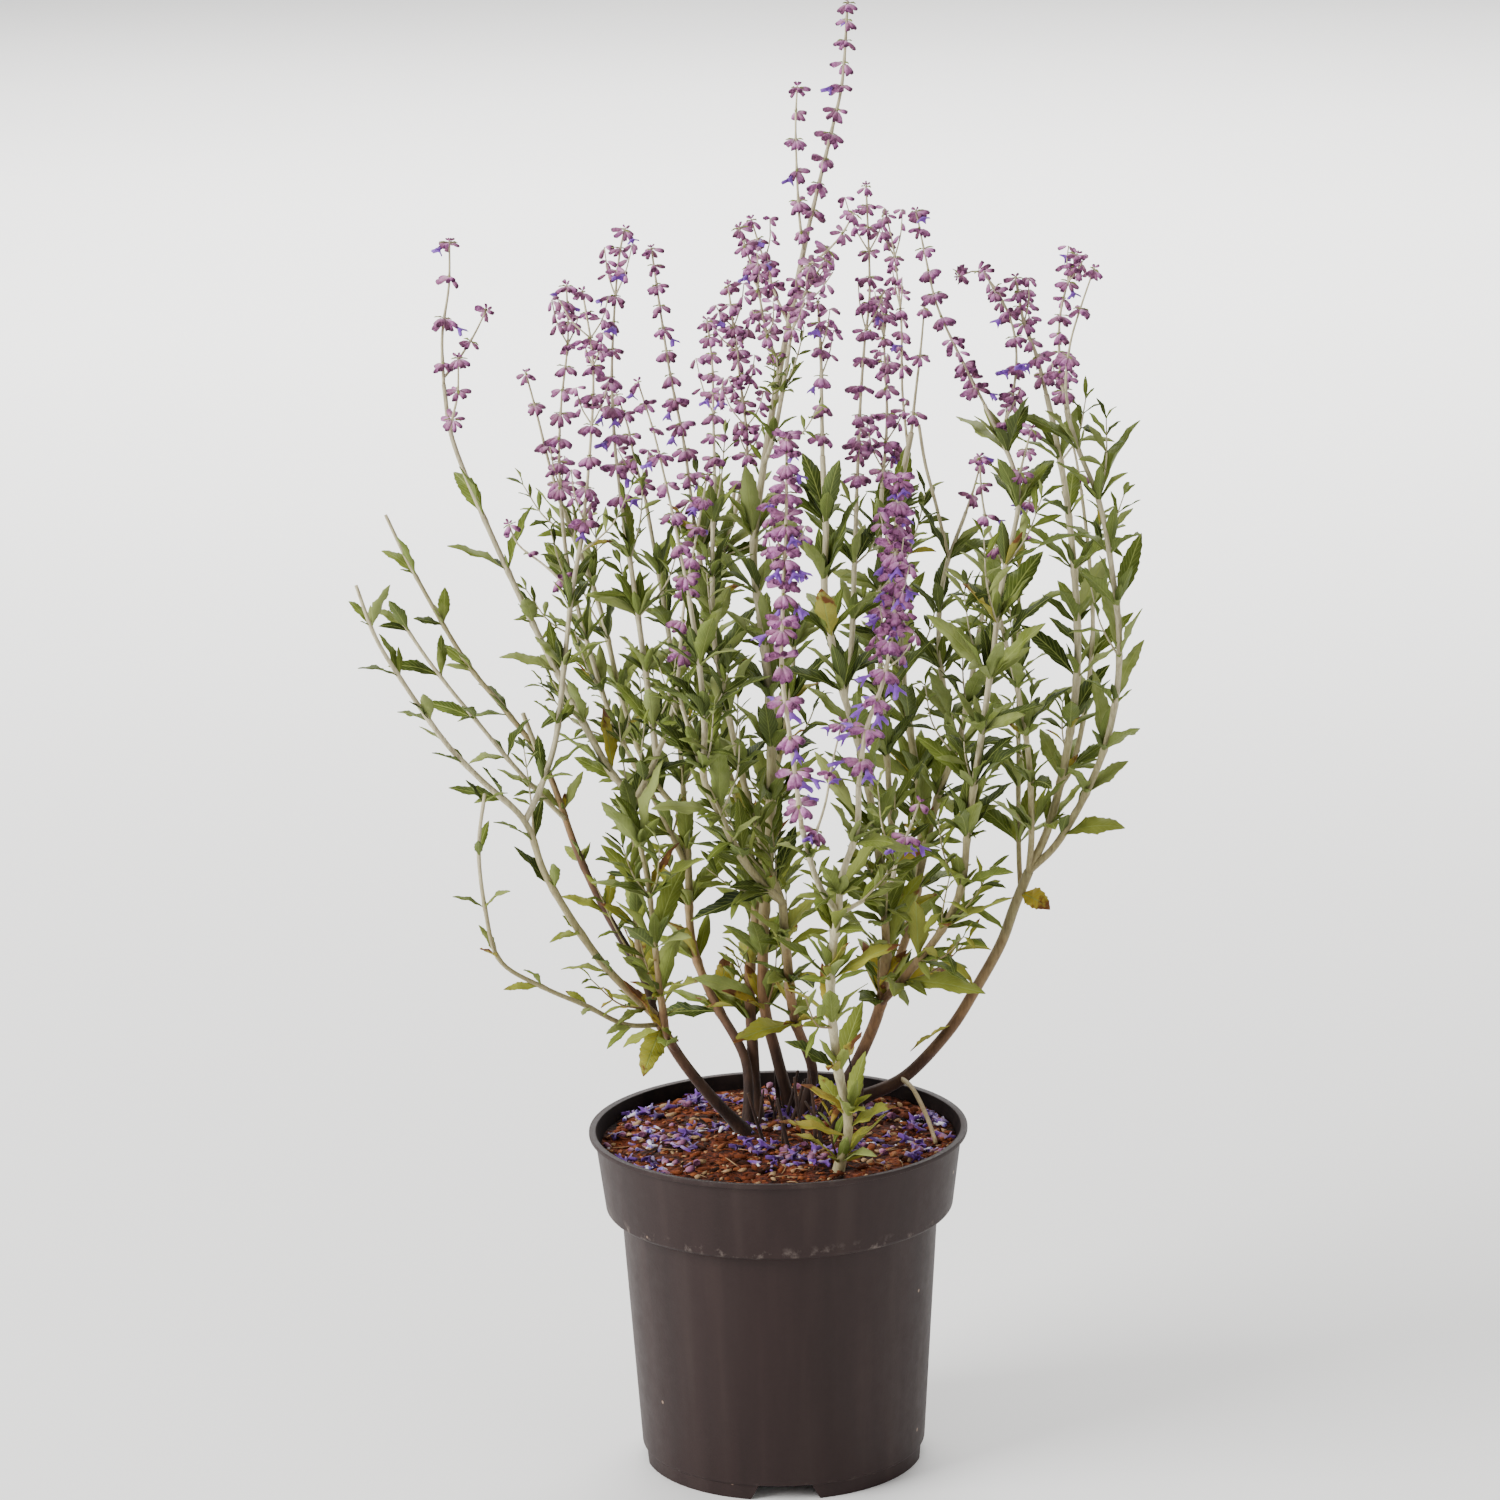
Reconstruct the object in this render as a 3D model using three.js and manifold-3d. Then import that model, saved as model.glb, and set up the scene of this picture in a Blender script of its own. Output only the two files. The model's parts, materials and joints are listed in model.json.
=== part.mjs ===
// A russian sage in a 3 litre nursery pot: pot, soil, eight leafy canes and their flower spikes.
// Millimetres, +Z up. The pot stands on z = 0, its axis is x = y = 0, and the front of the plant is -Y.

import * as THREE from "three";
import { mergeVertices } from "three/addons/utils/BufferGeometryUtils.js";
import Module from "manifold-3d";

const wasm = await Module();
wasm.setup();

// Driving dimensions of the pot
const POT_HEIGHT = 172.4;
const RIM_RADIUS = 95;
const RIM_DEPTH = 2.9;
const LIP_RADIUS = 91.5;
const COLLAR_TOP_RADIUS = 92.1;
const COLLAR_FOOT_RADIUS = 87.3;
const COLLAR_FOOT_HEIGHT = 132;
const COLLAR_FOOT_SLOPE = 1;
const BODY_TOP_RADIUS = 79.6;
const BODY_FOOT_RADIUS = 71.7;
const SKIRT_RADIUS = 70.5;
const SKIRT_HEIGHT = 8;
const WALL = 2;
const INNER_STEP_FOOT = 128;
const INNER_STEP_TOP = 134;
const PAD_RADIUS = 18;
const NOTCH_FOOT_WIDTH = 34.6;
const NOTCH_TOP_WIDTH = 26;
const NOTCH_DEPTH = 16;
const NOTCH_PAST_SKIRT = 4;
const DRAIN_RADIUS = 5;
const DRAIN_PITCH_RADIUS = 56;
const DRAIN_CUT_DEPTH = 6;
const POT_SIDES = 26;
const DRAIN_SIDES = 8;

// Driving dimensions of the soil
const SOIL_HEIGHT = 165;
const SOIL_DOME = 1.6;
const SOIL_ROUGHNESS = 0.7;
const SOIL_TOP_RADIUS = 90;
const SOIL_FLAT_EDGE = 9;
const SOIL_WAVE_X = 0.19;
const SOIL_WAVE_Y = 0.23;
const SOIL_RINGS = [1, 0.75, 0.4, 0];

// Driving dimensions of the plant
const FIT_GAP = 0.3;
const ROUTE_STEP = 6;
const SHORTEST_RING_STEP = 7;
const SAMPLES_PER_SPAN = 20;
const WOODY_RADIUS = 2.1;
const WOODY_SIDES = 5;
const GREEN_SIDES = 4;
const STEM_MARGIN = 0.8;
const RIM_MARGIN = 8;

// Leaves: one pair in five of those that the plant has is modelled, at its true size
const NODE_SPACING = 28;
const NODES_PER_PAIR = 5;
const BLADE_THICKNESS = 0.7;
const LEAF_WIDTH_SHARE = 0.36;
const LEAF_OUTLINE = [[1, 0.48], [0.68, 0.62], [0.8, 0.7]];
const LEAF_SIZES = [0.85, 1.15];
const LEAF_RISE = [32, 64];
const LEAF_DROOP = [6, 44];
const LEAF_ROLL = [-28, 28];
const LEAF_TURN_TO_FRONT = 30;
const LEAF_JITTER = 30;
const LEAF_SWINGS = [0, 25, -25, 50, -50];
const LEAF_SCALES = [1, 0.8, 0.64];
const ROOM_IN_CANE = [0.9, 0.3];
const ROOT_ZONE = 9;
const LEAF_PROBES = [0.25, 0.45, 0.62, 0.8, 0.97];
const PROBE_ROOT_SLOPE = 2.2;
const PROBE_TIP_SLOPE = 2.4;
const PROBE_TIP_WIDTH = 0.1;
const PROBE_SHARE = 0.9;

// Seeds that give every leaf its own size, heading, rise, droop and roll
const KEYS_PER_STEM = 97;
const KEYS_PER_NODE = 7;
const HEADING_KEY = 0.5;
const RISE_KEY = 0.2;
const DROOP_KEY = 0.7;
const ROLL_KEY = 0.9;

// Spikes: four whorls stand for every five on the plant, each a little larger than life
const WHORL_SHARE = 0.81;
const WHORL_SMALLEST = 3.4;
const WHORL_TIP_SIZE = 0.62;
const WHORL_CROWDING = 1.15;
const FIRST_WHORL_ROOM = 0.75;
const CALYX_REACH = 1.05;
const CALYX_DROP = 0.5;
const BETWEEN_REACH = 0.62;
const BETWEEN_DROP = 0.15;
const CROWN_RISE = 0.35;
const CROWN_WIDTH = 1.5;
const BARE_TIP = 3;
const STALK_CLEARANCE = 2;
const SPIKE_TAPER = 0.55;
const SPIKE_SIDES = 4;

const COLOURS = {
  pot: 0x3f3a38,
  soil: 0x5a2f1c,
  plant: 0x6b7546,
  flower: 0x8b5a86,
};

const BACKWARD = new THREE.Vector3(0, 1, 0);
const UP = new THREE.Vector3(0, 0, 1);

// A number between 0 and 1 that is always the same for the same seed
function noise(seed) {
  const value = Math.sin(seed * 12.9898) * 43758.5453;
  return value - Math.floor(value);
}

// Stems: name, parent, radius at the base and at the end, [share where leaves start, share where
// they end, leaf length] or null for a bare one, then the points that the stem passes through.
const stems = [];

function stem(name, parent, baseRadius, endRadius, leaves, ...points) {
  stems.push({ name, parent, baseRadius, endRadius, leaves, points });
}

// The left cane leans out over the rim and ends in the plant's widest branches
stem("left", "soil", 3.2, 2.4, null,
  [-6, 10, 146], [-14, 5, 164], [-33, -4, 189], [-48, -12, 212], [-60, -18, 236]);
stem("left_low", "left", 2.1, 0.8, [0.12, 0.95, 21],
  [-60, -18, 236], [-86, -32, 269], [-110, -45, 314], [-120, -52, 345], [-140, -60, 368],
  [-156, -66, 388], [-175, -74, 420], [-187, -78, 443], [-195, -82, 469]);
stem("left_pale", "left_low", 1.5, 1, [0.15, 0.95, 20],
  [-120, -52, 345], [-112, -48, 361], [-104, -42, 385], [-99, -32, 423], [-95, -24, 453], [-90, -20, 477]);
stem("left_brown", "left", 2.1, 0.8, [0.2, 0.95, 19],
  [-60, -18, 236], [-66, -8, 254], [-84, 8, 283], [-98, 20, 312], [-113, 34, 352], [-132, 40, 379],
  [-152, 46, 404], [-177, 52, 449], [-190, 56, 477]);
stem("left_stub", "left_brown", 1.4, 1.1, null,
  [-113, 34, 352], [-118, 30, 365], [-123, 26, 381]);
stem("left_thin", "left_brown", 1.2, 0.8, [0.15, 1, 20],
  [-103, 25, 326], [-114, 18, 340], [-129, 6, 361], [-147, -5, 388], [-157, -8, 402],
  [-169, -10, 420], [-182, -12, 442]);
stem("left_tan", "left_brown", 2.1, 1, [0.08, 0.8, 27],
  [-66, -8, 254], [-68, -12, 284], [-69, -20, 343], [-81, -14, 363], [-100, -4, 399],
  [-118, 4, 436], [-137, 14, 478], [-153, 22, 519], [-157, 26, 547]);
stem("left_yellow", "left_tan", 1.6, 0.9, [0.2, 0.8, 24],
  [-69, -20, 343], [-57, -32, 369], [-48, -42, 395], [-44, -48, 418]);
stem("left_pale_b", "left_yellow", 1.6, 1, [0.1, 0.95, 27],
  [-56, -33, 372], [-59, -28, 399], [-62, -22, 425], [-66, -16, 458], [-70, -10, 487]);
stem("left_droop", "left", 1.3, 0.8, [0.08, 1, 16],
  [-58, -17, 231], [-75, -28, 235], [-94, -38, 248], [-114, -46, 260], [-134, -54, 276],
  [-140, -60, 303], [-142, -66, 335], [-138, -72, 364]);
stem("left_grey", "left", 1.8, 1, [0.1, 1, 33],
  [-49, -12, 214], [-55, -24, 231], [-58, -36, 267], [-61, -46, 308], [-65, -54, 336]);

// The back left cane splits at mid height into three flowering stems
stem("back_left", "soil", 2.6, 1.7, [0.3, 1, 30],
  [-15, 12, 146], [-15, 20, 168], [-16, 34, 197], [-32, 50, 225], [-42, 60, 253], [-43, 64, 289],
  [-44, 66, 315]);
stem("back_left_a", "back_left", 1.4, 0.9, [0.1, 0.92, 27],
  [-44, 66, 315], [-46, 66, 356], [-49, 62, 401], [-54, 56, 441], [-60, 50, 483]);
stem("back_left_b", "back_left", 1.5, 1.1, [0.1, 0.95, 23],
  [-44, 66, 315], [-62, 78, 337], [-75, 86, 373], [-85, 88, 420], [-97, 86, 457], [-104, 84, 478]);
stem("back_left_c", "back_left", 1.5, 0.9, [0.1, 0.92, 25],
  [-43, 64, 289], [-59, 58, 327], [-78, 56, 366], [-90, 52, 407], [-99, 48, 449], [-102, 44, 482]);

// The back cane stands nearly upright behind the tall one
stem("back", "soil", 3.3, 2.1, [0.5, 1, 30],
  [-11, 30, 146], [-11, 34, 167], [-12, 40, 200], [-13, 46, 235], [-10, 52, 260], [-8, 58, 279]);
stem("back_a", "back", 2, 1.3, [0.05, 0.95, 29],
  [-8, 58, 279], [-16, 78, 316], [-27, 92, 350], [-34, 100, 380], [-33, 104, 413], [-23, 102, 444],
  [-14, 98, 473]);
stem("back_stub", "back_a", 1.1, 0.9, null, [-18, 100, 460], [-17, 103, 470], [-15, 105, 482]);
stem("back_b", "back", 1.7, 1, [0.1, 1, 29],
  [-8, 58, 279], [-3, 72, 307], [4, 86, 340], [11, 98, 374], [14, 106, 409]);

// The tall cane carries the highest spikes and has few leaves on its upper half
stem("tall", "soil", 3, 1.2, [0.22, 0.72, 33],
  [8, 46, 146], [7, 42, 166], [0, 36, 198], [-6, 32, 229], [-5, 28, 272], [-1, 20, 325], [0, 12, 383],
  [-4, 4, 431], [-7, 0, 464], [-2, -4, 504], [6, -8, 549], [14, -6, 587], [22, 0, 622]);
stem("tall_side", "tall", 1.2, 0.9, [0.25, 0.95, 19],
  [-2, -4, 507], [4, -14, 525], [9, -26, 552], [12, -34, 572]);

// The centre cane leans to the front and splits low down
stem("centre", "soil", 2.7, 2.1, [0.35, 1, 34],
  [16, 30, 146], [13, 32, 169], [18, 22, 194], [9, 2, 228], [6, -16, 263], [4, -30, 296]);
stem("centre_a", "centre", 2, 1, [0.05, 0.95, 33],
  [4, -30, 296], [-14, -46, 321], [-28, -60, 354], [-33, -66, 370], [-32, -74, 396], [-34, -82, 430],
  [-38, -86, 462]);
stem("centre_a2", "centre_a", 1.2, 0.8, [0.2, 1, 22],
  [-33, -66, 370], [-39, -68, 391], [-45, -74, 415]);
stem("centre_b", "centre", 1.7, 1, [0.05, 0.95, 30],
  [4, -30, 296], [-3, -24, 316], [-13, -12, 349], [-22, 2, 391], [-30, 16, 436], [-36, 26, 477]);
stem("centre_c", "centre_b", 1.3, 0.9, [0.1, 0.9, 24],
  [-22, 2, 391], [-27, -8, 424], [-27, -18, 465], [-25, -24, 508]);

// The near right cane has the most branches
stem("near_right", "soil", 3.3, 2.5, [0.5, 1, 37],
  [24, 36, 146], [26, 40, 165], [42, 42, 194], [53, 30, 226], [56, 18, 260]);
stem("near_right_a", "near_right", 2, 1.3, [0.05, 0.95, 33],
  [56, 18, 260], [53, -2, 304], [45, -24, 363], [33, -36, 411], [27, -38, 451], [28, -36, 483],
  [27, -32, 518]);
stem("near_right_b", "near_right_a", 1.4, 1, [0.1, 0.92, 27],
  [36, -34, 400], [40, -20, 425], [42, -6, 457], [44, 6, 492]);
stem("near_right_c", "near_right", 1.7, 1, [0.05, 0.93, 29],
  [56, 18, 260], [60, 34, 290], [59, 50, 337], [56, 62, 392], [56, 68, 442], [58, 68, 483]);
stem("near_right_d", "near_right", 2.1, 1.4, [0.12, 0.95, 31],
  [53, 30, 226], [61, 40, 242], [71, 58, 266], [76, 74, 294], [75, 86, 326], [69, 98, 373],
  [66, 100, 425], [67, 98, 469], [74, 94, 507]);
stem("near_right_f", "near_right", 2.1, 0.9, [0.06, 0.97, 33],
  [53, 30, 226], [68, 2, 252], [83, -20, 279], [92, -32, 304], [95, -40, 336], [101, -48, 380],
  [107, -52, 423], [112, -50, 459], [120, -44, 493], [118, -40, 512], [105, -30, 541]);
stem("near_right_j", "near_right_d", 2, 1, [0.08, 1, 28],
  [75, 70, 284], [84, 62, 324], [94, 50, 355], [100, 42, 385], [105, 32, 420], [110, 26, 446]);
stem("near_right_k", "near_right_j", 1.4, 0.9, [0.1, 0.95, 26],
  [94, 50, 355], [88, 64, 380], [86, 76, 409], [90, 82, 438], [101, 88, 467]);
stem("near_right_twig", "near_right_k", 0.9, 0.8, null,
  [92, 83, 443], [86, 92, 470], [81, 97, 490], [78, 100, 510]);

// The far right cane runs out low over the rim and then turns up; a dry stalk hangs from it to the soil
stem("far_right", "soil", 3.2, 2.4, null,
  [31, 60, 148], [37, 56, 167], [45, 48, 172], [66, 52, 181], [88, 56, 203], [102, 56, 225],
  [115, 52, 250], [122, 48, 271], [129, 44, 290]);
stem("far_right_a", "far_right", 1.6, 0.9, [0.15, 1, 29],
  [129, 44, 290], [130, 34, 314], [128, 20, 354], [122, 8, 392], [114, -4, 426], [111, -10, 446]);
stem("far_right_b", "far_right", 1.3, 0.8, [0.15, 0.95, 29],
  [125, 47, 278], [125, 62, 302], [126, 76, 348], [127, 86, 401], [128, 90, 446]);
stem("far_right_c", "far_right", 2.1, 1.3, [0.1, 0.95, 29],
  [129, 44, 290], [139, 38, 315], [147, 30, 352], [152, 22, 393], [152, 18, 430], [148, 14, 478],
  [142, 10, 516], [137, 8, 539]);
stem("far_right_d", "far_right", 1.9, 1, [0.1, 0.95, 32],
  [129, 44, 290], [144, 36, 308], [160, 22, 343], [169, 6, 379], [171, -8, 420], [166, -18, 462],
  [160, -24, 492], [150, -28, 518], [144, -30, 538]);
stem("far_right_e", "far_right_c", 1.4, 0.8, [0.1, 0.93, 29],
  [143, 34, 334], [152, 48, 345], [159, 58, 372], [163, 62, 410], [161, 60, 449], [157, 56, 483]);
stem("far_right_stalk", "far_right", 1.3, 1, null,
  [64, 51, 180], [69, 24, 182], [75, -2, 175], [78, -26, 170]);

// The pale front shoot comes out of the soil on its own
stem("front", "soil", 2.3, 1.9, [0.3, 1, 30],
  [27, -50, 146], [29, -55, 166], [34, -64, 192], [29, -76, 226], [26, -90, 263], [27, -100, 291],
  [30, -106, 310]);
stem("front_a", "front", 1.5, 1.2, [0.2, 0.8, 22], [30, -106, 310], [20, -118, 330], [13, -130, 359]);
stem("front_b", "front", 1.6, 1.3, [0.15, 0.85, 26],
  [30, -106, 310], [32, -112, 331], [39, -118, 354], [40, -122, 377]);
stem("front_c", "front", 1.2, 0.8, [0.3, 0.9, 22],
  [30, -106, 310], [41, -98, 314], [54, -90, 318], [59, -84, 333]);

// Flower spikes: name, parent, whorls, how far a whorl reaches from the axis, radius of the axis,
// then the points from the parent stem to the tip
const spikes = [];

function spike(name, parent, whorls, reach, radius, ...points) {
  spikes.push({ name, parent, whorls, reach, radius, points });
}

spike("left_pale", "left_pale", 9, 7, 0.8,
  [-90, -20, 477], [-86, -14, 510], [-83, -10, 544], [-83, -8, 568], [-87, -4, 596]);
spike("left_outer", "left_tan", 4, 8, 0.8,
  [-157, 26, 547], [-157, 28, 571], [-153, 28, 595], [-152, 28, 617]);
spike("left_twig_a", "left_tan", 3, 6, 0.7,
  [-154, 23, 526], [-152, 13, 534], [-149, 5, 546], [-148, 1, 564]);
spike("left_twig_b", "left_tan", 3, 6, 0.7,
  [-157, 26, 550], [-151, 37, 556], [-143, 46, 567], [-136, 50, 580]);
spike("left_side", "left_pale", 3, 6, 0.7,
  [-95, -24, 452], [-108, -14, 463], [-121, -6, 472], [-126, -2, 482]);
spike("left_yellow", "left_yellow", 7, 7, 0.8,
  [-44, -48, 418], [-41, -56, 449], [-36, -60, 476], [-32, -62, 496], [-28, -62, 516]);
spike("left_b", "left_pale_b", 11, 7, 0.8,
  [-70, -10, 487], [-73, -4, 518], [-74, 2, 551], [-72, 6, 585], [-69, 8, 611], [-66, 8, 624]);
spike("back_left_a", "back_left_a", 5, 6.5, 0.7,
  [-60, 50, 483], [-65, 46, 505], [-68, 44, 522], [-73, 42, 538]);
spike("back_left_b", "back_left_b", 4, 6.5, 0.8,
  [-104, 84, 478], [-109, 82, 498], [-114, 80, 522], [-119, 78, 544]);
spike("back_left_c", "back_left_c", 10, 7, 0.7,
  [-102, 44, 482], [-102, 42, 510], [-100, 40, 536], [-96, 38, 566], [-96, 38, 593]);
spike("back_a", "back_a", 9, 7, 0.8,
  [-14, 98, 473], [-9, 94, 500], [-11, 90, 528], [-14, 86, 557], [-17, 84, 585]);
spike("tall", "tall", 10, 7, 1, [22, 0, 622], [28, 2, 645], [35, 4, 672], [40, 6, 694], [43, 6, 731]);
spike("tall_twin", "tall", 6, 6.5, 0.7,
  [20, -2, 613], [18, -10, 631], [17, -14, 658], [17, -14, 677], [18, -14, 693]);
spike("tall_left", "tall", 5, 6.5, 0.7, [12, -7, 578], [6, 5, 591], [1, 13, 606], [-5, 18, 626]);
spike("tall_left_b", "tall", 7, 6.5, 0.7, [8, -8, 556], [1, -22, 578], [-3, -30, 601], [-11, -34, 629]);
spike("tall_right", "tall", 4, 6.5, 0.7, [17, -3, 603], [28, -16, 612], [37, -24, 622], [44, -28, 634]);
spike("tall_side", "tall_side", 5, 6, 0.7, [12, -34, 572], [16, -39, 589], [22, -42, 602], [30, -42, 614]);
spike("centre_a", "centre_a", 8, 7, 0.7,
  [-38, -86, 462], [-43, -84, 491], [-48, -78, 516], [-53, -72, 538], [-60, -66, 561]);
spike("centre_b", "centre_b", 12, 7, 0.8,
  [-36, 26, 477], [-40, 30, 514], [-46, 32, 548], [-50, 34, 578], [-54, 34, 611]);
spike("centre_c", "centre_c", 8, 6.5, 0.7,
  [-25, -24, 508], [-25, -26, 535], [-25, -28, 562], [-27, -28, 584]);
spike("near_right_a", "near_right_a", 6, 6.5, 1,
  [27, -32, 518], [27, -30, 545], [27, -27, 568], [26, -24, 592]);
spike("near_right_b", "near_right_b", 12, 7, 0.8,
  [44, 6, 492], [46, 12, 528], [49, 16, 564], [52, 20, 590], [51, 22, 641]);
spike("near_right_c", "near_right_c", 8, 7, 0.8, [58, 68, 483], [61, 68, 518], [60, 64, 554], [59, 62, 582]);
spike("near_right_d", "near_right_d", 3, 6, 0.8, [74, 94, 507], [76, 92, 525], [79, 89, 550], [81, 86, 572]);
spike("near_right_e", "near_right_d", 5, 6.5, 0.7,
  [72, 95, 500], [70, 104, 527], [70, 110, 562], [67, 110, 595], [63, 110, 616]);
spike("near_right_f", "near_right_f", 9, 7, 0.7,
  [105, -30, 541], [92, -22, 567], [83, -16, 588], [78, -10, 611], [74, -6, 632]);
spike("near_right_g", "near_right_f", 8, 6.5, 0.7,
  [112, -35, 526], [119, -24, 545], [121, -16, 567], [116, -10, 586], [105, -4, 601], [94, -2, 599]);
spike("near_right_h", "near_right_f", 3, 6, 0.7, [120, -42, 504], [122, -51, 517], [126, -58, 534]);
spike("near_right_i", "near_right_f", 4, 6, 0.7,
  [113, -49, 466], [106, -42, 482], [103, -38, 498], [102, -38, 517]);
spike("near_right_k", "near_right_k", 2, 6, 0.7, [101, 88, 467], [105, 90, 478], [109, 92, 492]);
spike("far_right_b", "far_right_b", 3, 6, 0.7, [128, 90, 446], [132, 90, 467], [137, 90, 485]);
spike("far_right_c", "far_right_c", 7, 6.5, 1,
  [137, 8, 539], [132, 6, 559], [126, 4, 575], [122, 2, 598]);
spike("far_right_d", "far_right_d", 9, 6.5, 0.7,
  [144, -30, 538], [141, -30, 562], [142, -28, 586], [150, -24, 612]);
spike("far_right_side", "far_right_d", 4, 6, 0.7,
  [146, -29, 533], [143, -44, 552], [145, -49, 573], [150, -52, 591], [156, -54, 609]);
spike("far_right_e", "far_right_e", 3, 6, 0.7,
  [157, 56, 483], [154, 54, 501], [150, 52, 516], [148, 52, 532]);
spike("front_a", "front_a", 12, 10, 1.1,
  [13, -130, 359], [9, -142, 399], [5, -148, 436], [6, -150, 472], [8, -150, 509], [9, -150, 548]);
spike("front_b", "front_b", 11, 10, 1.1,
  [40, -122, 377], [44, -124, 404], [53, -126, 431], [58, -126, 466], [59, -126, 499], [61, -124, 523]);
spike("front_c", "front_c", 2, 8, 0.7, [59, -84, 333], [64, -82, 343], [70, -80, 358]);
spike("front_mid", "front_a", 3, 8, 0.7,
  [16, -124, 345], [24, -118, 366], [28, -112, 385], [33, -108, 404]);

// The largest leaves, each from a place on its stem to its tip: stem, share, tip, width, and the
// droop and the roll in degrees
const largeLeaves = [
  ["left", 0.93, [-66, -45, 213], 15, 20, 30],
  ["left", 0.9, [-77, 2, 214], 9, 30, 35],
  ["left_grey", 0.4, [-44, -30, 284], 12, 20, -30],
  ["left_tan", 0.33, [-97, -8, 366], 9, 10, 35],
  ["near_right_f", 0.08, [104, -14, 243], 14, 15, -38],
  ["far_right", 0.93, [139, 32, 273], 13, 25, -50],
  ["far_right", 0.5, [68, 42, 197], 11, 20, -25],
  ["near_right_a", 0.9, [20, -43, 503], 8, 5, 30],
  ["near_right_a", 0.93, [35, -26, 506], 8, 5, -30],
  ["front", 0.27, [57, -76, 205], 12, 10, -35],
  ["front", 0.24, [0, -78, 199], 9, 10, 30],
  ["front", 0.3, [20, -48, 213], 10, 5, 20],
  ["front", 0.47, [42, -64, 255], 12, 5, -25],
  ["front_b", 0.6, [66, -110, 341], 8, 15, -30],
  ["front_b", 0.75, [20, -98, 388], 9, 5, 25],
];

const stemOf = new Map(stems.map((entry) => [entry.name, entry]));

// The cane that a stem belongs to is the stem that its parents lead back to
function caneOf(name) {
  const { parent } = stemOf.get(name);
  return parent === "soil" ? name : caneOf(parent);
}

// A smooth line through the points, its length, the shares of it where the points lie, and places
// evenly spaced along it
function traceRoute(points) {
  const vectors = points.map((point) => new THREE.Vector3(...point));
  const curve = new THREE.CatmullRomCurve3(vectors, false, "catmullrom", 0.5);
  const lengths = curve.getLengths((points.length - 1) * SAMPLES_PER_SPAN);
  const length = lengths[lengths.length - 1];
  const knots = points.map((point, i) => lengths[i * SAMPLES_PER_SPAN] / length);
  const places = curve.getSpacedPoints(Math.max(3, Math.round(length / ROUTE_STEP)));
  return { curve, length, knots, places };
}

// A place on a route with its direction along the stem and two directions across it
function placeAt(route, share) {
  const point = route.curve.getPointAt(share);
  const along = route.curve.getTangentAt(share);
  const across = BACKWARD.clone().cross(along).normalize();
  const behind = across.clone().cross(along);
  return { point, along, across, behind };
}

function radiusAt(entry, share) {
  return THREE.MathUtils.lerp(entry.baseRadius, entry.endRadius, share);
}

// A closed tube through rings; each ring has a place and a radius and a rise along the stem for every side
function loft(rings, sides, turn = 0) {
  const geometry = new THREE.CylinderGeometry(1, 1, 1, sides, rings.length - 1);
  const position = geometry.getAttribute("position");
  const moved = new THREE.Vector3();
  for (let i = 0; i < position.count; i += 1) {
    const ring = rings[Math.round((position.getY(i) + 0.5) * (rings.length - 1))];
    const onAxis = Math.hypot(position.getX(i), position.getZ(i)) < 0.5;
    const angle = Math.atan2(position.getX(i), position.getZ(i));
    const side = (Math.round((angle * sides) / (2 * Math.PI)) + sides) % sides;
    const radius = onAxis ? 0 : ring.radius(side);
    moved.copy(ring.place.point);
    moved.addScaledVector(ring.place.across, radius * Math.sin(angle + turn));
    moved.addScaledVector(ring.place.behind, radius * Math.cos(angle + turn));
    moved.addScaledVector(ring.place.along, onAxis ? 0 : ring.rise(side));
    position.setXYZ(i, moved.x, moved.y, moved.z);
  }
  return geometry;
}

function plainRing(place, radius) {
  return { place, radius: () => radius, rise: () => 0 };
}

// A tapered tube along part of a route, with a ring at every point of the route that lies on it
function taperedTube(route, from, to, radiusOf, sides) {
  const margin = SHORTEST_RING_STEP / route.length;
  const between = route.knots.filter((knot) => knot > from + margin && knot < to - margin);
  const shares = [from, ...between, to];
  return loft(shares.map((share) => plainRing(placeAt(route, share), radiusOf(share))), sides);
}

// A closed geometry as a solid that can be joined and cut; faces that shrank to a line at a pole are dropped
function solidOf(geometry) {
  const bare = geometry.clone();
  bare.deleteAttribute("normal");
  bare.deleteAttribute("uv");
  const merged = mergeVertices(bare, 1e-4);
  const corners = merged.index.array;
  const faces = [];
  for (let i = 0; i < corners.length; i += 3) {
    const [a, b, c] = corners.slice(i, i + 3);
    if (a !== b && b !== c && c !== a) {
      faces.push(a, b, c);
    }
  }
  return new wasm.Manifold(new wasm.Mesh({
    numProp: 3,
    vertProperties: merged.getAttribute("position").array,
    triVerts: new Uint32Array(faces),
  }));
}

function joinAll(solids) {
  return solids.reduce((whole, solid) => whole.add(solid));
}

function meshOf(name, solid, colour, roughness) {
  const { vertProperties, triVerts } = solid.getMesh();
  const geometry = new THREE.BufferGeometry();
  geometry.setAttribute("position", new THREE.BufferAttribute(vertProperties, 3));
  geometry.setIndex(new THREE.BufferAttribute(triVerts, 1));
  geometry.computeVertexNormals();
  const material = new THREE.MeshStandardMaterial({ color: colour, roughness, metalness: 0 });
  const mesh = new THREE.Mesh(geometry, material);
  mesh.name = name;
  return mesh;
}

// A solid of revolution round +Z from [radius, height] pairs
function turned(profile) {
  const geometry = new THREE.LatheGeometry(profile.map(([r, z]) => new THREE.Vector2(r, z)), POT_SIDES);
  return geometry.rotateX(Math.PI / 2);
}

// The inner wall of the pot, from the floor up to the soil, moved in by a gap
function innerWall(gap) {
  return [
    [BODY_FOOT_RADIUS - WALL - gap, SKIRT_HEIGHT + WALL + gap],
    [BODY_TOP_RADIUS - WALL - gap, INNER_STEP_FOOT],
    [COLLAR_FOOT_RADIUS - WALL - gap, INNER_STEP_TOP],
  ];
}

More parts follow.
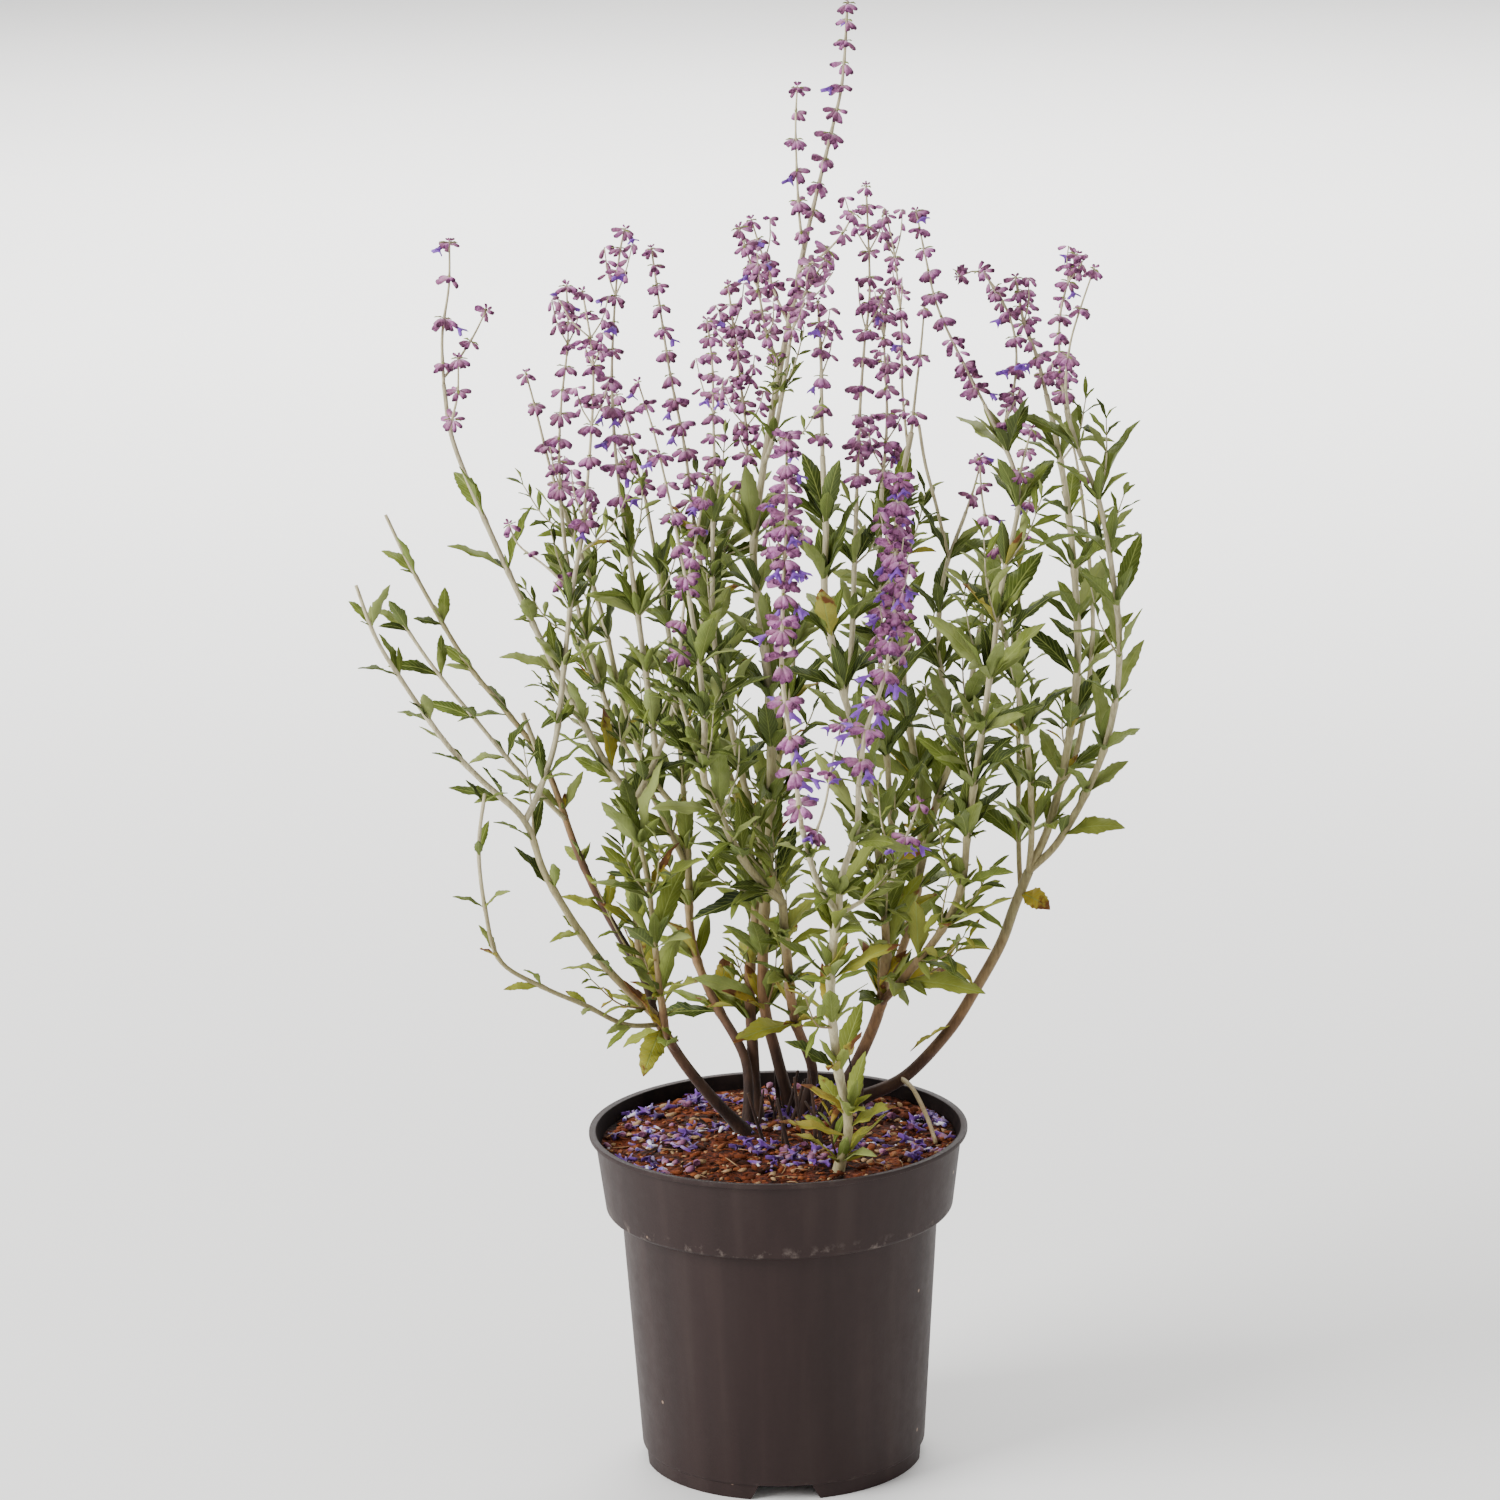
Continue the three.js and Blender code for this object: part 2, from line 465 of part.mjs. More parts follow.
function potSolid() {
  const body = solidOf(turned([
    [0, 0],
    [PAD_RADIUS, 0],
    [PAD_RADIUS, SKIRT_HEIGHT],
    [SKIRT_RADIUS - WALL, SKIRT_HEIGHT],
    [SKIRT_RADIUS - WALL, 0],
    [SKIRT_RADIUS, 0],
    [SKIRT_RADIUS, SKIRT_HEIGHT],
    [BODY_FOOT_RADIUS, SKIRT_HEIGHT],
    [BODY_TOP_RADIUS, COLLAR_FOOT_HEIGHT - COLLAR_FOOT_SLOPE],
    [COLLAR_FOOT_RADIUS, COLLAR_FOOT_HEIGHT],
    [COLLAR_TOP_RADIUS, POT_HEIGHT - RIM_DEPTH],
    [RIM_RADIUS, POT_HEIGHT - RIM_DEPTH],
    [RIM_RADIUS, POT_HEIGHT],
    [LIP_RADIUS, POT_HEIGHT],
    [COLLAR_TOP_RADIUS - WALL, POT_HEIGHT - RIM_DEPTH - WALL],
    ...innerWall(0).reverse(),
    [0, SKIRT_HEIGHT + WALL],
  ]));
  return body.subtract(joinAll([...skirtNotches(), ...drainHoles()]));
}

// Four notches in the skirt let the water out; each is wider at the foot
function skirtNotches() {
  const outline = new THREE.Shape();
  const flare = (NOTCH_FOOT_WIDTH - NOTCH_TOP_WIDTH) / 2;
  outline.moveTo(-NOTCH_FOOT_WIDTH / 2 - flare, -SKIRT_HEIGHT);
  outline.lineTo(NOTCH_FOOT_WIDTH / 2 + flare, -SKIRT_HEIGHT);
  outline.lineTo(NOTCH_TOP_WIDTH / 2, SKIRT_HEIGHT);
  outline.lineTo(-NOTCH_TOP_WIDTH / 2, SKIRT_HEIGHT);
  return [0, 1, 2, 3].map((quarter) => {
    const cutter = new THREE.ExtrudeGeometry(outline, { depth: NOTCH_DEPTH, bevelEnabled: false });
    cutter.rotateX(Math.PI / 2);
    cutter.translate(0, -SKIRT_RADIUS + NOTCH_DEPTH - NOTCH_PAST_SKIRT, 0);
    cutter.rotateZ((quarter * Math.PI) / 2);
    return solidOf(cutter);
  });
}

// A drain hole through the floor beside each notch
function drainHoles() {
  return [0, 1, 2, 3].map((quarter) => {
    const drill = new THREE.CylinderGeometry(DRAIN_RADIUS, DRAIN_RADIUS, DRAIN_CUT_DEPTH, DRAIN_SIDES);
    drill.rotateX(Math.PI / 2);
    drill.translate(0, -DRAIN_PITCH_RADIUS, SKIRT_HEIGHT + WALL / 2);
    drill.rotateZ((quarter * Math.PI) / 2);
    return solidOf(drill);
  });
}

// The soil fills the pot; its top is slightly domed and rough, and every cane stands in its own hole
function soilSolid(canes) {
  const profile = [[0, SKIRT_HEIGHT + WALL + FIT_GAP], ...innerWall(FIT_GAP)];
  for (const share of SOIL_RINGS) {
    const height = SOIL_HEIGHT + SOIL_DOME * (1 - share * share);
    profile.push([SOIL_TOP_RADIUS * share - (share === 1 ? FIT_GAP : 0), height]);
  }
  const geometry = turned(profile);
  const position = geometry.getAttribute("position");
  for (let i = 0; i < position.count; i += 1) {
    const x = position.getX(i);
    const y = position.getY(i);
    const inside = Math.hypot(x, y) < SOIL_TOP_RADIUS - SOIL_FLAT_EDGE;
    if (position.getZ(i) > SOIL_HEIGHT - SOIL_DOME && inside) {
      const wave = Math.sin(x * SOIL_WAVE_X) * Math.cos(y * SOIL_WAVE_Y);
      position.setZ(i, position.getZ(i) + SOIL_ROUGHNESS * wave);
    }
  }
  const holes = canes.map((entry) => {
    const widened = (share) => radiusAt(entry, share) + FIT_GAP;
    return solidOf(taperedTube(entry.route, 0, 1, widened, entry.sides));
  });
  return solidOf(geometry).subtract(joinAll(holes));
}

// Balls along everything that stands already, each with its owner, so that new leaves and whorls stay clear
const obstacles = [];

function addObstacle(owner, point, radius) {
  obstacles.push({ owner, point: point.clone(), radius });
}

// Distance from a point to the nearest obstacle that the test counts
function roomAt(point, counts) {
  let room = Infinity;
  for (const ball of obstacles) {
    if (counts(ball)) {
      room = Math.min(room, ball.point.distanceTo(point) - ball.radius);
    }
  }
  return room;
}

// Room above the pot and the soil: nothing may dip into them
function potRoomAt(point) {
  const fromAxis = Math.hypot(point.x, point.y);
  if (fromAxis > RIM_RADIUS + RIM_MARGIN) {
    return Infinity;
  }
  const floor = fromAxis < LIP_RADIUS - RIM_MARGIN ? SOIL_HEIGHT + SOIL_DOME + SOIL_ROUGHNESS : POT_HEIGHT;
  return point.z - floor;
}

for (const entry of stems) {
  entry.cane = caneOf(entry.name);
  entry.route = traceRoute(entry.points);
  entry.sides = entry.baseRadius > WOODY_RADIUS ? WOODY_SIDES : GREEN_SIDES;
  entry.route.places.forEach((point, i) => {
    addObstacle(entry.cane, point, radiusAt(entry, i / (entry.route.places.length - 1)) + STEM_MARGIN);
  });
}

// A spike starts on a short stalk of its cane and goes on, past a hair-thin gap, as its own piece
for (const entry of spikes) {
  const parent = stemOf.get(entry.parent);
  entry.owner = "spike_" + entry.name;
  entry.route = traceRoute(entry.points);
  const nearParent = (point) => Math.min(
    ...parent.route.places.map((place) => place.distanceTo(point)),
  );
  const clear = parent.endRadius + entry.radius + STALK_CLEARANCE;
  let share = 0;
  while (nearParent(entry.route.curve.getPointAt(share)) < clear) {
    share += 1 / entry.route.length;
  }
  entry.stalkEnd = share;
  entry.start = share + FIT_GAP / entry.route.length;
  entry.route.places.forEach((point, i) => {
    const along = i / (entry.route.places.length - 1);
    addObstacle(along < share ? parent.cane : entry.owner, point, entry.radius + STEM_MARGIN);
  });
}

// Whorls stand closer together towards the tip, where they are also smaller
for (const entry of spikes) {
  const { route, whorls, reach, radius, owner, start } = entry;
  const first = start + (FIRST_WHORL_ROOM * reach) / route.length;
  const last = 1 - radius / route.length;
  entry.placed = [];
  const count = Math.max(2, Math.round(whorls * WHORL_SHARE));
  for (let i = 0; i < count; i += 1) {
    const order = i / (count - 1);
    const share = THREE.MathUtils.lerp(first, last, 1 - (1 - order) ** WHORL_CROWDING);
    const place = placeAt(route, share);
    const wanted = reach * THREE.MathUtils.lerp(1, WHORL_TIP_SIZE, order ** 2);
    const room = roomAt(place.point, (ball) => ball.owner !== owner) - FIT_GAP;
    const size = Math.min(wanted, room);
    if (size >= WHORL_SMALLEST) {
      entry.placed.push({ share, place, size });
      addObstacle(owner, place.point, size);
    }
  }
}

// An axis with whorls of drooping calyces in opposite pairs, each a quarter turn from the pair below
function spikeSolid(entry) {
  const { route, start, radius } = entry;
  const thin = (share) => THREE.MathUtils.lerp(radius, radius * SPIKE_TAPER, share);
  const rings = [plainRing(placeAt(route, start), thin(start))];
  entry.placed.forEach(({ share, place, size }, i) => {
    const onArm = (side) => side % 2 === i % 2;
    const under = placeAt(route, share - (BETWEEN_DROP * size) / route.length);
    const over = placeAt(route, Math.min(share + (CROWN_RISE * size) / route.length, 1));
    rings.push(plainRing(under, thin(share)));
    rings.push({
      place,
      radius: (side) => size * (onArm(side) ? CALYX_REACH : BETWEEN_REACH),
      rise: (side) => -size * (onArm(side) ? CALYX_DROP : BETWEEN_DROP),
    });
    rings.push(plainRing(over, thin(share) * CROWN_WIDTH));
  });
  const last = entry.placed[entry.placed.length - 1];
  if (last.share < 1 - BARE_TIP / route.length) {
    rings.push(plainRing(placeAt(route, 1), thin(1)));
  }
  return solidOf(loft(rings, SPIKE_SIDES, Math.PI * noise(spikes.indexOf(entry) + 1)));
}

// The outline of a leaf, a wedge at its root and with one coarse tooth on each side. LEAF_OUTLINE gives
// its corners as shares of half the width and of the length
function leafOutline(length, width) {
  const right = LEAF_OUTLINE.map(([x, y]) => [(x * width) / 2, y * length]);
  const outline = new THREE.Shape();
  outline.moveTo(0, 0);
  right.forEach(([x, y]) => outline.lineTo(x, y));
  outline.lineTo(0, length);
  right.reverse().forEach(([x, y]) => outline.lineTo(-x, y));
  return outline;
}

// A blade that leaves its root in one direction, is rolled round it, and bends down by the droop
// angle towards its tip
function leafGeometry(leaf) {
  const { root, direction, length, width, droop, roll } = leaf;
  const sideways = direction.clone().cross(UP).normalize();
  const upward = sideways.clone().cross(direction).normalize();
  const blade = new THREE.ExtrudeGeometry(leafOutline(length, width), {
    depth: BLADE_THICKNESS,
    bevelEnabled: false,
  });
  const position = blade.getAttribute("position");
  const moved = new THREE.Vector3();
  for (let i = 0; i < position.count; i += 1) {
    const turn = (droop * position.getY(i)) / length;
    const flat = position.getX(i);
    const thick = position.getZ(i) - BLADE_THICKNESS / 2;
    const lift = flat * Math.sin(roll) + thick * Math.cos(roll);
    const radius = length / droop;
    moved.copy(root);
    moved.addScaledVector(sideways, flat * Math.cos(roll) - thick * Math.sin(roll));
    moved.addScaledVector(direction, radius * Math.sin(turn) + lift * Math.sin(turn));
    moved.addScaledVector(upward, -radius * (1 - Math.cos(turn)) + lift * Math.cos(turn));
    position.setXYZ(i, moved.x, moved.y, moved.z);
  }
  return blade;
}

// Points along the middle of a leaf, used to keep it clear
function leafSpine(leaf) {
  const { root, direction, length, droop } = leaf;
  const sideways = direction.clone().cross(UP).normalize();
  const upward = sideways.clone().cross(direction).normalize();
  return LEAF_PROBES.map((share) => {
    const turn = droop * share;
    const radius = length / droop;
    const point = root.clone().addScaledVector(direction, radius * Math.sin(turn));
    point.addScaledVector(upward, -radius * (1 - Math.cos(turn)));
    const nearTip = PROBE_TIP_SLOPE * (1 - share) + PROBE_TIP_WIDTH;
    const half = (leaf.width / 2) * Math.min(1, nearTip, share * PROBE_ROOT_SLOPE);
    return { point, half };
  });
}

function leafIsClear(leaf, cane, ownRoom) {
  return leafSpine(leaf).every(({ point, half }) => {
    const others = roomAt(point, (ball) => ball.owner !== cane);
    const own = roomAt(point, (ball) => ball.owner === cane && ball.point.distanceTo(leaf.root) > ROOT_ZONE);
    return others > half + FIT_GAP && potRoomAt(point) > half + FIT_GAP && own > half * ownRoom;
  });
}

function acceptLeaf(entry, leaf) {
  entry.blades.push(leaf);
  leafSpine(leaf).forEach(({ point, half }) => addObstacle(entry.cane, point, half * PROBE_SHARE));
}

function degrees(value) {
  return THREE.MathUtils.degToRad(value);
}

// The largest leaves come first, so that they keep their places
stems.forEach((entry) => {
  entry.blades = [];
});
for (const [name, share, tip, width, droop, roll] of largeLeaves) {
  const entry = stemOf.get(name);
  const root = placeAt(entry.route, share).point;
  const span = new THREE.Vector3(...tip).sub(root);
  const sideways = span.clone().cross(UP).normalize();
  const direction = span.clone().normalize().applyAxisAngle(sideways, degrees(droop) / 2);
  const bend = { droop: degrees(droop), roll: degrees(roll) };
  acceptLeaf(entry, { root, direction, length: span.length(), width, ...bend });
}

// Pairs of leaves stand opposite each other, each pair a quarter turn from the one below; a leaf that
// would touch something is swung round the stem or made smaller, and left out if that doesn't help
function addLeafPairs(entry, seed) {
  const [from, to, length] = entry.leaves;
  const nodes = Math.floor(((to - from) * entry.route.length) / NODE_SPACING);
  for (let node = 1; node <= nodes; node += NODES_PER_PAIR) {
    const share = from + (node * NODE_SPACING) / entry.route.length;
    const place = placeAt(entry.route, Math.min(share, 1));
    for (const half of [0, 1]) {
      const key = seed * KEYS_PER_STEM + node * KEYS_PER_NODE + half;
      const size = length * THREE.MathUtils.lerp(...LEAF_SIZES, noise(key));
      const jitter = LEAF_JITTER * noise(key + HEADING_KEY);
      const heading = node * 90 + half * 180 + 360 * noise(seed) + jitter;
      const leaf = findLeaf(entry, place, heading, size, key);
      if (leaf) {
        acceptLeaf(entry, leaf);
      }
    }
  }
}

// A leaf that grows to one side turns its face to the front, where it catches the light
function leafRoll(direction, key) {
  const roll = THREE.MathUtils.lerp(...LEAF_ROLL, noise(key + ROLL_KEY));
  return degrees(roll - LEAF_TURN_TO_FRONT * direction.x);
}

function findLeaf(entry, place, heading, size, key) {
  for (const ownRoom of ROOM_IN_CANE) {
    for (const scale of LEAF_SCALES) {
      for (const swing of LEAF_SWINGS) {
        const angle = degrees(heading + swing);
        const rise = degrees(THREE.MathUtils.lerp(...LEAF_RISE, noise(key + RISE_KEY)));
        const direction = place.across.clone().multiplyScalar(Math.cos(angle) * Math.cos(rise));
        direction.addScaledVector(place.behind, Math.sin(angle) * Math.cos(rise));
        direction.addScaledVector(place.along, Math.sin(rise)).normalize();
        const leaf = {
          root: place.point,
          direction,
          length: size * scale,
          width: size * scale * LEAF_WIDTH_SHARE,
          droop: degrees(THREE.MathUtils.lerp(...LEAF_DROOP, noise(key + DROOP_KEY))),
          roll: leafRoll(direction, key),
        };
        if (leafIsClear(leaf, entry.cane, ownRoom)) {
          return leaf;
        }
      }
    }
  }
  return null;
}

stems.forEach((entry, seed) => {
  if (entry.leaves) {
    addLeafPairs(entry, seed + 1);
  }
});

// One cane: its stems, the stalks of its spikes and all its leaves grown together
function caneSolid(cane) {
  const own = stems.filter((entry) => entry.cane === cane.name);
  const solids = own.map((entry) => {
    const from = entry.parent === "soil" ? FIT_GAP / entry.route.length : 0;
    return solidOf(taperedTube(entry.route, from, 1, (share) => radiusAt(entry, share), entry.sides));
  });
  for (const entry of spikes) {
    if (stemOf.get(entry.parent).cane === cane.name) {
      const stalk = taperedTube(entry.route, 0, entry.stalkEnd, () => entry.radius, GREEN_SIDES);
      solids.push(solidOf(stalk));
    }
  }
  for (const entry of own) {
    entry.blades.forEach((leaf) => solids.push(solidOf(leafGeometry(leaf))));
  }
  return joinAll(solids);
}

const plant = new THREE.Group();
const canes = stems.filter((entry) => entry.parent === "soil");
plant.add(meshOf("pot", potSolid(), COLOURS.pot, 0.6));
plant.add(meshOf("soil", soilSolid(canes), COLOURS.soil, 1));
for (const cane of canes) {
  plant.add(meshOf("cane_" + cane.name, caneSolid(cane), COLOURS.plant, 0.8));
}
for (const entry of spikes) {
  plant.add(meshOf(entry.owner, spikeSolid(entry), COLOURS.flower, 0.9));
}

export default plant;
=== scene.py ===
# %% [markdown]
# # A russian sage in a nursery pot
#
# This lesson dresses a plain model of a potted russian sage. The plain model holds the pot, the
# soil, eight canes with their leaves and 39 flower spikes as simple solids. Each step below takes
# one of them, says what it is on the real plant, and makes a finer piece that keeps its place and
# form. The box of the plain model is kept, and new leaves and twigs are tested against it.

import json
from math import atan2, cos, hypot, pi, radians, sin, sqrt

import bmesh
import bpy
import numpy as np
from mathutils import Matrix, Vector, noise

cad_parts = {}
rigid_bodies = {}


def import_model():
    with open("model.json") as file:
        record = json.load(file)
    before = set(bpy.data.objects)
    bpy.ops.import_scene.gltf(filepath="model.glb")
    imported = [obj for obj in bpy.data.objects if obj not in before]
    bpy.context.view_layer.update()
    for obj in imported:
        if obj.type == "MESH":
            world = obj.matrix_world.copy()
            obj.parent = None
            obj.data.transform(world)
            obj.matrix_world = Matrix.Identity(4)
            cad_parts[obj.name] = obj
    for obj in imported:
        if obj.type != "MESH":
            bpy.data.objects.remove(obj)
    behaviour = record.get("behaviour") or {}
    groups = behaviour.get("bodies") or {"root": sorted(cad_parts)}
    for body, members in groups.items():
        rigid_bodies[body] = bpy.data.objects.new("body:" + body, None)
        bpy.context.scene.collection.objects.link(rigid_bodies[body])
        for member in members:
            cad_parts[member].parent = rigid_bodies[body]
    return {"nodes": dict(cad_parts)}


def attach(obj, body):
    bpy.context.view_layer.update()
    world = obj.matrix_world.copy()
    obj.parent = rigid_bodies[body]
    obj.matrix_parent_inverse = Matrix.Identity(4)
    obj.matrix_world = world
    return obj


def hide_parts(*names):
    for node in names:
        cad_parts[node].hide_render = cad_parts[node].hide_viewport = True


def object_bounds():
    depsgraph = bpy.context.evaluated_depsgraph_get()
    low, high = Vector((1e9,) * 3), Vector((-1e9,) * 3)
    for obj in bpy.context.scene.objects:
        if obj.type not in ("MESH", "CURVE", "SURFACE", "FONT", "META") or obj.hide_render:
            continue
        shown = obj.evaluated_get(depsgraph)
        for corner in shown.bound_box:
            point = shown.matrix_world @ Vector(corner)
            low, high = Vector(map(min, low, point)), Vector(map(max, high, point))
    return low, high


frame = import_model()
plain_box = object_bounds()
print(len(frame["nodes"]), "nodes in", [[round(c, 4) for c in corner] for corner in plain_box])

# %% [markdown]
# ## Camera
#
# The photograph was taken from a little above the plant with a long lens, so the pot's rim shows
# as a narrow ellipse. The distance and the lens came from fitting a pinhole camera to the rim, the
# collar and the foot of the pot. The camera leans one degree to the side, as the photographer's
# did: the pot's left side sits a little lower in the picture.

# %% Camera
CAMERA_PLACE = (-0.0105, -2.398, 0.933)
CAMERA_PITCH = radians(90 - 13.3)
CAMERA_ROLL = radians(-1.1)
LENS_MM = 120
SENSOR_MM = 36


def show(name, data):
    """Puts a new object with its data into the scene."""
    made = bpy.data.objects.new(name, data)
    bpy.context.scene.collection.objects.link(made)
    return made


camera_lens = bpy.data.cameras.new("camera")
camera_lens.lens = LENS_MM
camera_lens.sensor_width = SENSOR_MM
camera = show("camera", camera_lens)
turned = Matrix.Rotation(CAMERA_PITCH, 4, "X") @ Matrix.Rotation(CAMERA_ROLL, 4, "Z")
camera.matrix_world = Matrix.Translation(CAMERA_PLACE) @ turned
bpy.context.scene.camera = camera
print("camera distance:", round(Vector(CAMERA_PLACE).length, 3), "m")

# %% [markdown]
# ## Light and floor
#
# Studio plants are lit softly from all round, with a stronger light on one side. Here a dim white
# sky gives the even part, and large lamps give the rest: a key lamp far to the left, which leaves
# the right side of the pot nearly black as in the photograph, a weak one at the right, one from
# behind that draws light edges on the stems, and one that hangs over the floor behind the plant and
# makes the background nearly white. The floor is a large pale sheet. It isn't part of the plant,
# so it is put on the stage.

# %% Light and floor
SKY_STRENGTH = 0.55
PLANT_MIDDLE = (0, 0, 0.35)
LAMPS = [
    ("key_lamp", (-2.8, -1.3, 1.9), PLANT_MIDDLE, 2.0, 190),
    ("fill_lamp", (2.4, -1.8, 1.2), PLANT_MIDDLE, 2.0, 18),
    ("back_lamp", (0.6, 2.4, 2.4), PLANT_MIDDLE, 2.0, 40),
    ("floor_lamp", (0, 5, 3.2), (0, 5.5, 0), 5.0, 600),
]
FLOOR_SIZE = 60
FLOOR_SQUARES = 8

world = bpy.data.worlds.new("studio")
bpy.context.scene.world = world
world.use_nodes = True
world.node_tree.nodes["Background"].inputs["Color"].default_value = (1, 1, 1, 1)
world.node_tree.nodes["Background"].inputs["Strength"].default_value = SKY_STRENGTH
for lamp_name, lamp_place, lamp_target, lamp_size, lamp_power in LAMPS:
    lamp_data = bpy.data.lights.new(lamp_name, "AREA")
    lamp_data.size = lamp_size
    lamp_data.energy = lamp_power
    lamp = show(lamp_name, lamp_data)
    aim = (Vector(lamp_target) - Vector(lamp_place)).to_track_quat("-Z", "Y")
    lamp.matrix_world = Matrix.Translation(lamp_place) @ aim.to_matrix().to_4x4()
print(len(LAMPS), "lamps")

# %% [markdown]
# ## Helpers for finishes
#
# Colours are easiest to pick as hex codes, but a shader wants linear numbers, so one function
# turns them. A finish is a small tree of nodes: one function feeds the inputs of a node, and one
# adds a node and sets it up. Everything that is the same all over a surface goes straight on the
# shader's own inputs. Nothing on this plant shines: a strong gloss would mirror the white studio
# and wash the colours out, so every finish starts with a weak one.


# %% Helpers for finishes
def linear(code):
    """A hex colour as the linear numbers that a shader wants, by the sRGB formula."""
    shares = [int(code[i : i + 2], 16) / 255 for i in (1, 3, 5)]
    return (*[s / 12.92 if s <= 0.04045 else ((s + 0.055) / 1.055) ** 2.4 for s in shares], 1)


def feed(tree, node, inputs):
    """Feeds a node; an input is a number, a hex colour or another node's output."""
    for socket, value in inputs.items():
        if isinstance(value, bpy.types.NodeSocket):
            tree.links.new(value, node.inputs[socket])
        else:
            plain = linear(value) if isinstance(value, str) else value
            node.inputs[socket].default_value = plain


def add(tree, kind, inputs, output=0, stops=None, **settings):
    """Adds a node, sets it up and feeds it; gives its first output, or the one asked for."""
    made = tree.nodes.new("ShaderNode" + kind)
    for setting, value in settings.items():
        setattr(made, setting, value)
    if stops:
        ramp = made.color_ramp.elements
        ramp.remove(ramp[1])
        ramp[0].position = stops[0][0]
        ramp[0].color = linear(stops[0][1])
        for place, code in stops[1:]:
            ramp.new(place).color = linear(code)
    feed(tree, made, inputs)
    return made.outputs[output]


MATT_SHINE = 0.2


def new_finish(name, plain):
    """A material with the plain values of its shader; gives the material, its tree and shader."""
    finish = bpy.data.materials.new(name)
    finish.use_nodes = True
    shader = finish.node_tree.nodes["Principled BSDF"]
    feed(finish.node_tree, shader, {"Specular IOR Level": MATT_SHINE, **plain})
    return finish, finish.node_tree, shader


# The number of each socket on a mix node that mixes colours: share, first, second, result
SHARE, FIRST, SECOND, RESULT = 0, 6, 7, 2

floor_finish, tree, shader = new_finish("pale_floor", {"Roughness": 0.9})
coords = add(tree, "TexCoord", {}, "Object")
cloud = add(tree, "TexNoise", {"Vector": coords, "Scale": 0.7, "Detail": 1})
pale = add(tree, "ValToRGB", {"Fac": cloud}, stops=[(0.3, "#f7f6f4"), (0.7, "#faf9f7")])
feed(tree, shader, {"Base Color": pale})

sheet = bmesh.new()
squares = FLOOR_SQUARES
bmesh.ops.create_grid(sheet, x_segments=squares, y_segments=squares, size=FLOOR_SIZE / 2)
floor_mesh = bpy.data.meshes.new("floor")
sheet.to_mesh(floor_mesh)
sheet.free()
floor_mesh.materials.append(floor_finish)
floor = show("floor", floor_mesh)
print("floor:", FLOOR_SIZE, "m wide")

# %% [markdown]
# ## Pieces from shapes and templates
#
# A plant is a few shapes repeated hundreds of times: a leaf, a calyx, a petal tube. Each is
# modelled once as a template, lying along +Y with a length of one. A piece is then grown by
# stamping copies of the templates into it, each bent and placed on its own. Every vertex carries
# four marks that the finishes read later: along (0 at the root of a shape, 1 at its tip), tint (a
# number for each copy), age (how far a leaf has yellowed) and under (1 on a leaf's lower side).
# All the planning is done in millimetres, and a finished piece is shrunk to metres at the end.

# %% Pieces from shapes and templates
MM = 0.001
MERGE_WITHIN = 1e-5
MARKS = ("along", "tint", "age", "under")


def closed_up(shape):
    """Merges doubled corners and turns all faces outwards."""
    bmesh.ops.remove_doubles(shape, verts=shape.verts, dist=MERGE_WITHIN)
    bmesh.ops.recalc_face_normals(shape, faces=shape.faces)


def keep_template(shape, name, thick=False):
    """Stores a shape as a template, with its marks and with a UV map seen from above."""
    layers = {mark: shape.verts.layers.float.new(mark) for mark in MARKS}
    uv = shape.loops.layers.uv.new("UVMap")
    for vert in shape.verts:
        vert[layers["along"]] = vert.co.y
        vert[layers["under"]] = float(thick and vert.co.z < 0)
    for face in shape.faces:
        face.smooth = True
        for loop in face.loops:
            loop[uv].uv = (0.5 + 0.5 * loop.vert.co.x, loop.vert.co.y)
    made = bpy.data.meshes.new(name)
    shape.to_mesh(made)
    shape.free()
    return made


def corners_of(template):
    """The template's corners as an array with a row for each."""
    flat = np.empty(len(template.vertices) * 3)
    template.vertices.foreach_get("co", flat)
    return flat.reshape(-1, 3)


def stamp(piece, template, corners, finish=0, **marks):
    """Adds a copy of the template to a piece, with its corners moved to the given places."""
    copy = template.copy()
    copy.vertices.foreach_set("co", corners.ravel())
    copy.polygons.foreach_set("material_index", [finish] * len(copy.polygons))
    for mark, value in marks.items():
        values = np.broadcast_to(value, len(copy.vertices)).astype(np.float32)
        copy.attributes[mark].data.foreach_set("value", values)
    piece.from_mesh(copy)
    bpy.data.meshes.remove(copy)


def finish_piece(piece, name, finishes, replaced=()):
    """Turns a piece that was planned in millimetres into an object on the plant."""
    bmesh.ops.scale(piece, vec=(MM, MM, MM), verts=piece.verts)
    mesh = bpy.data.meshes.new(name)
    piece.to_mesh(mesh)
    piece.free()
    for finish in finishes:
        mesh.materials.append(finish)
    made = show(name, mesh)
    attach(made, "root")
    if replaced:
        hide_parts(*replaced)
    return made


def triangles(*objects):
    """How many triangles the objects have."""
    return sum(len(face.vertices) - 2 for made in objects for face in made.data.polygons)

# %% [markdown]
# ## The pot
#
# A nursery pot is blown or moulded from thin dark plastic: a tapered body, a wider collar on top
# that a hand or a machine can grip, a turned-out rim, and a low skirt with notches that let the
# water out. Everything but the notches is round, so a profile is spun once round the axis. The
# notches and the drain holes are then cut with cutters. The edges of moulded plastic are never
# sharp, so the rings of the profile get a small bevel.

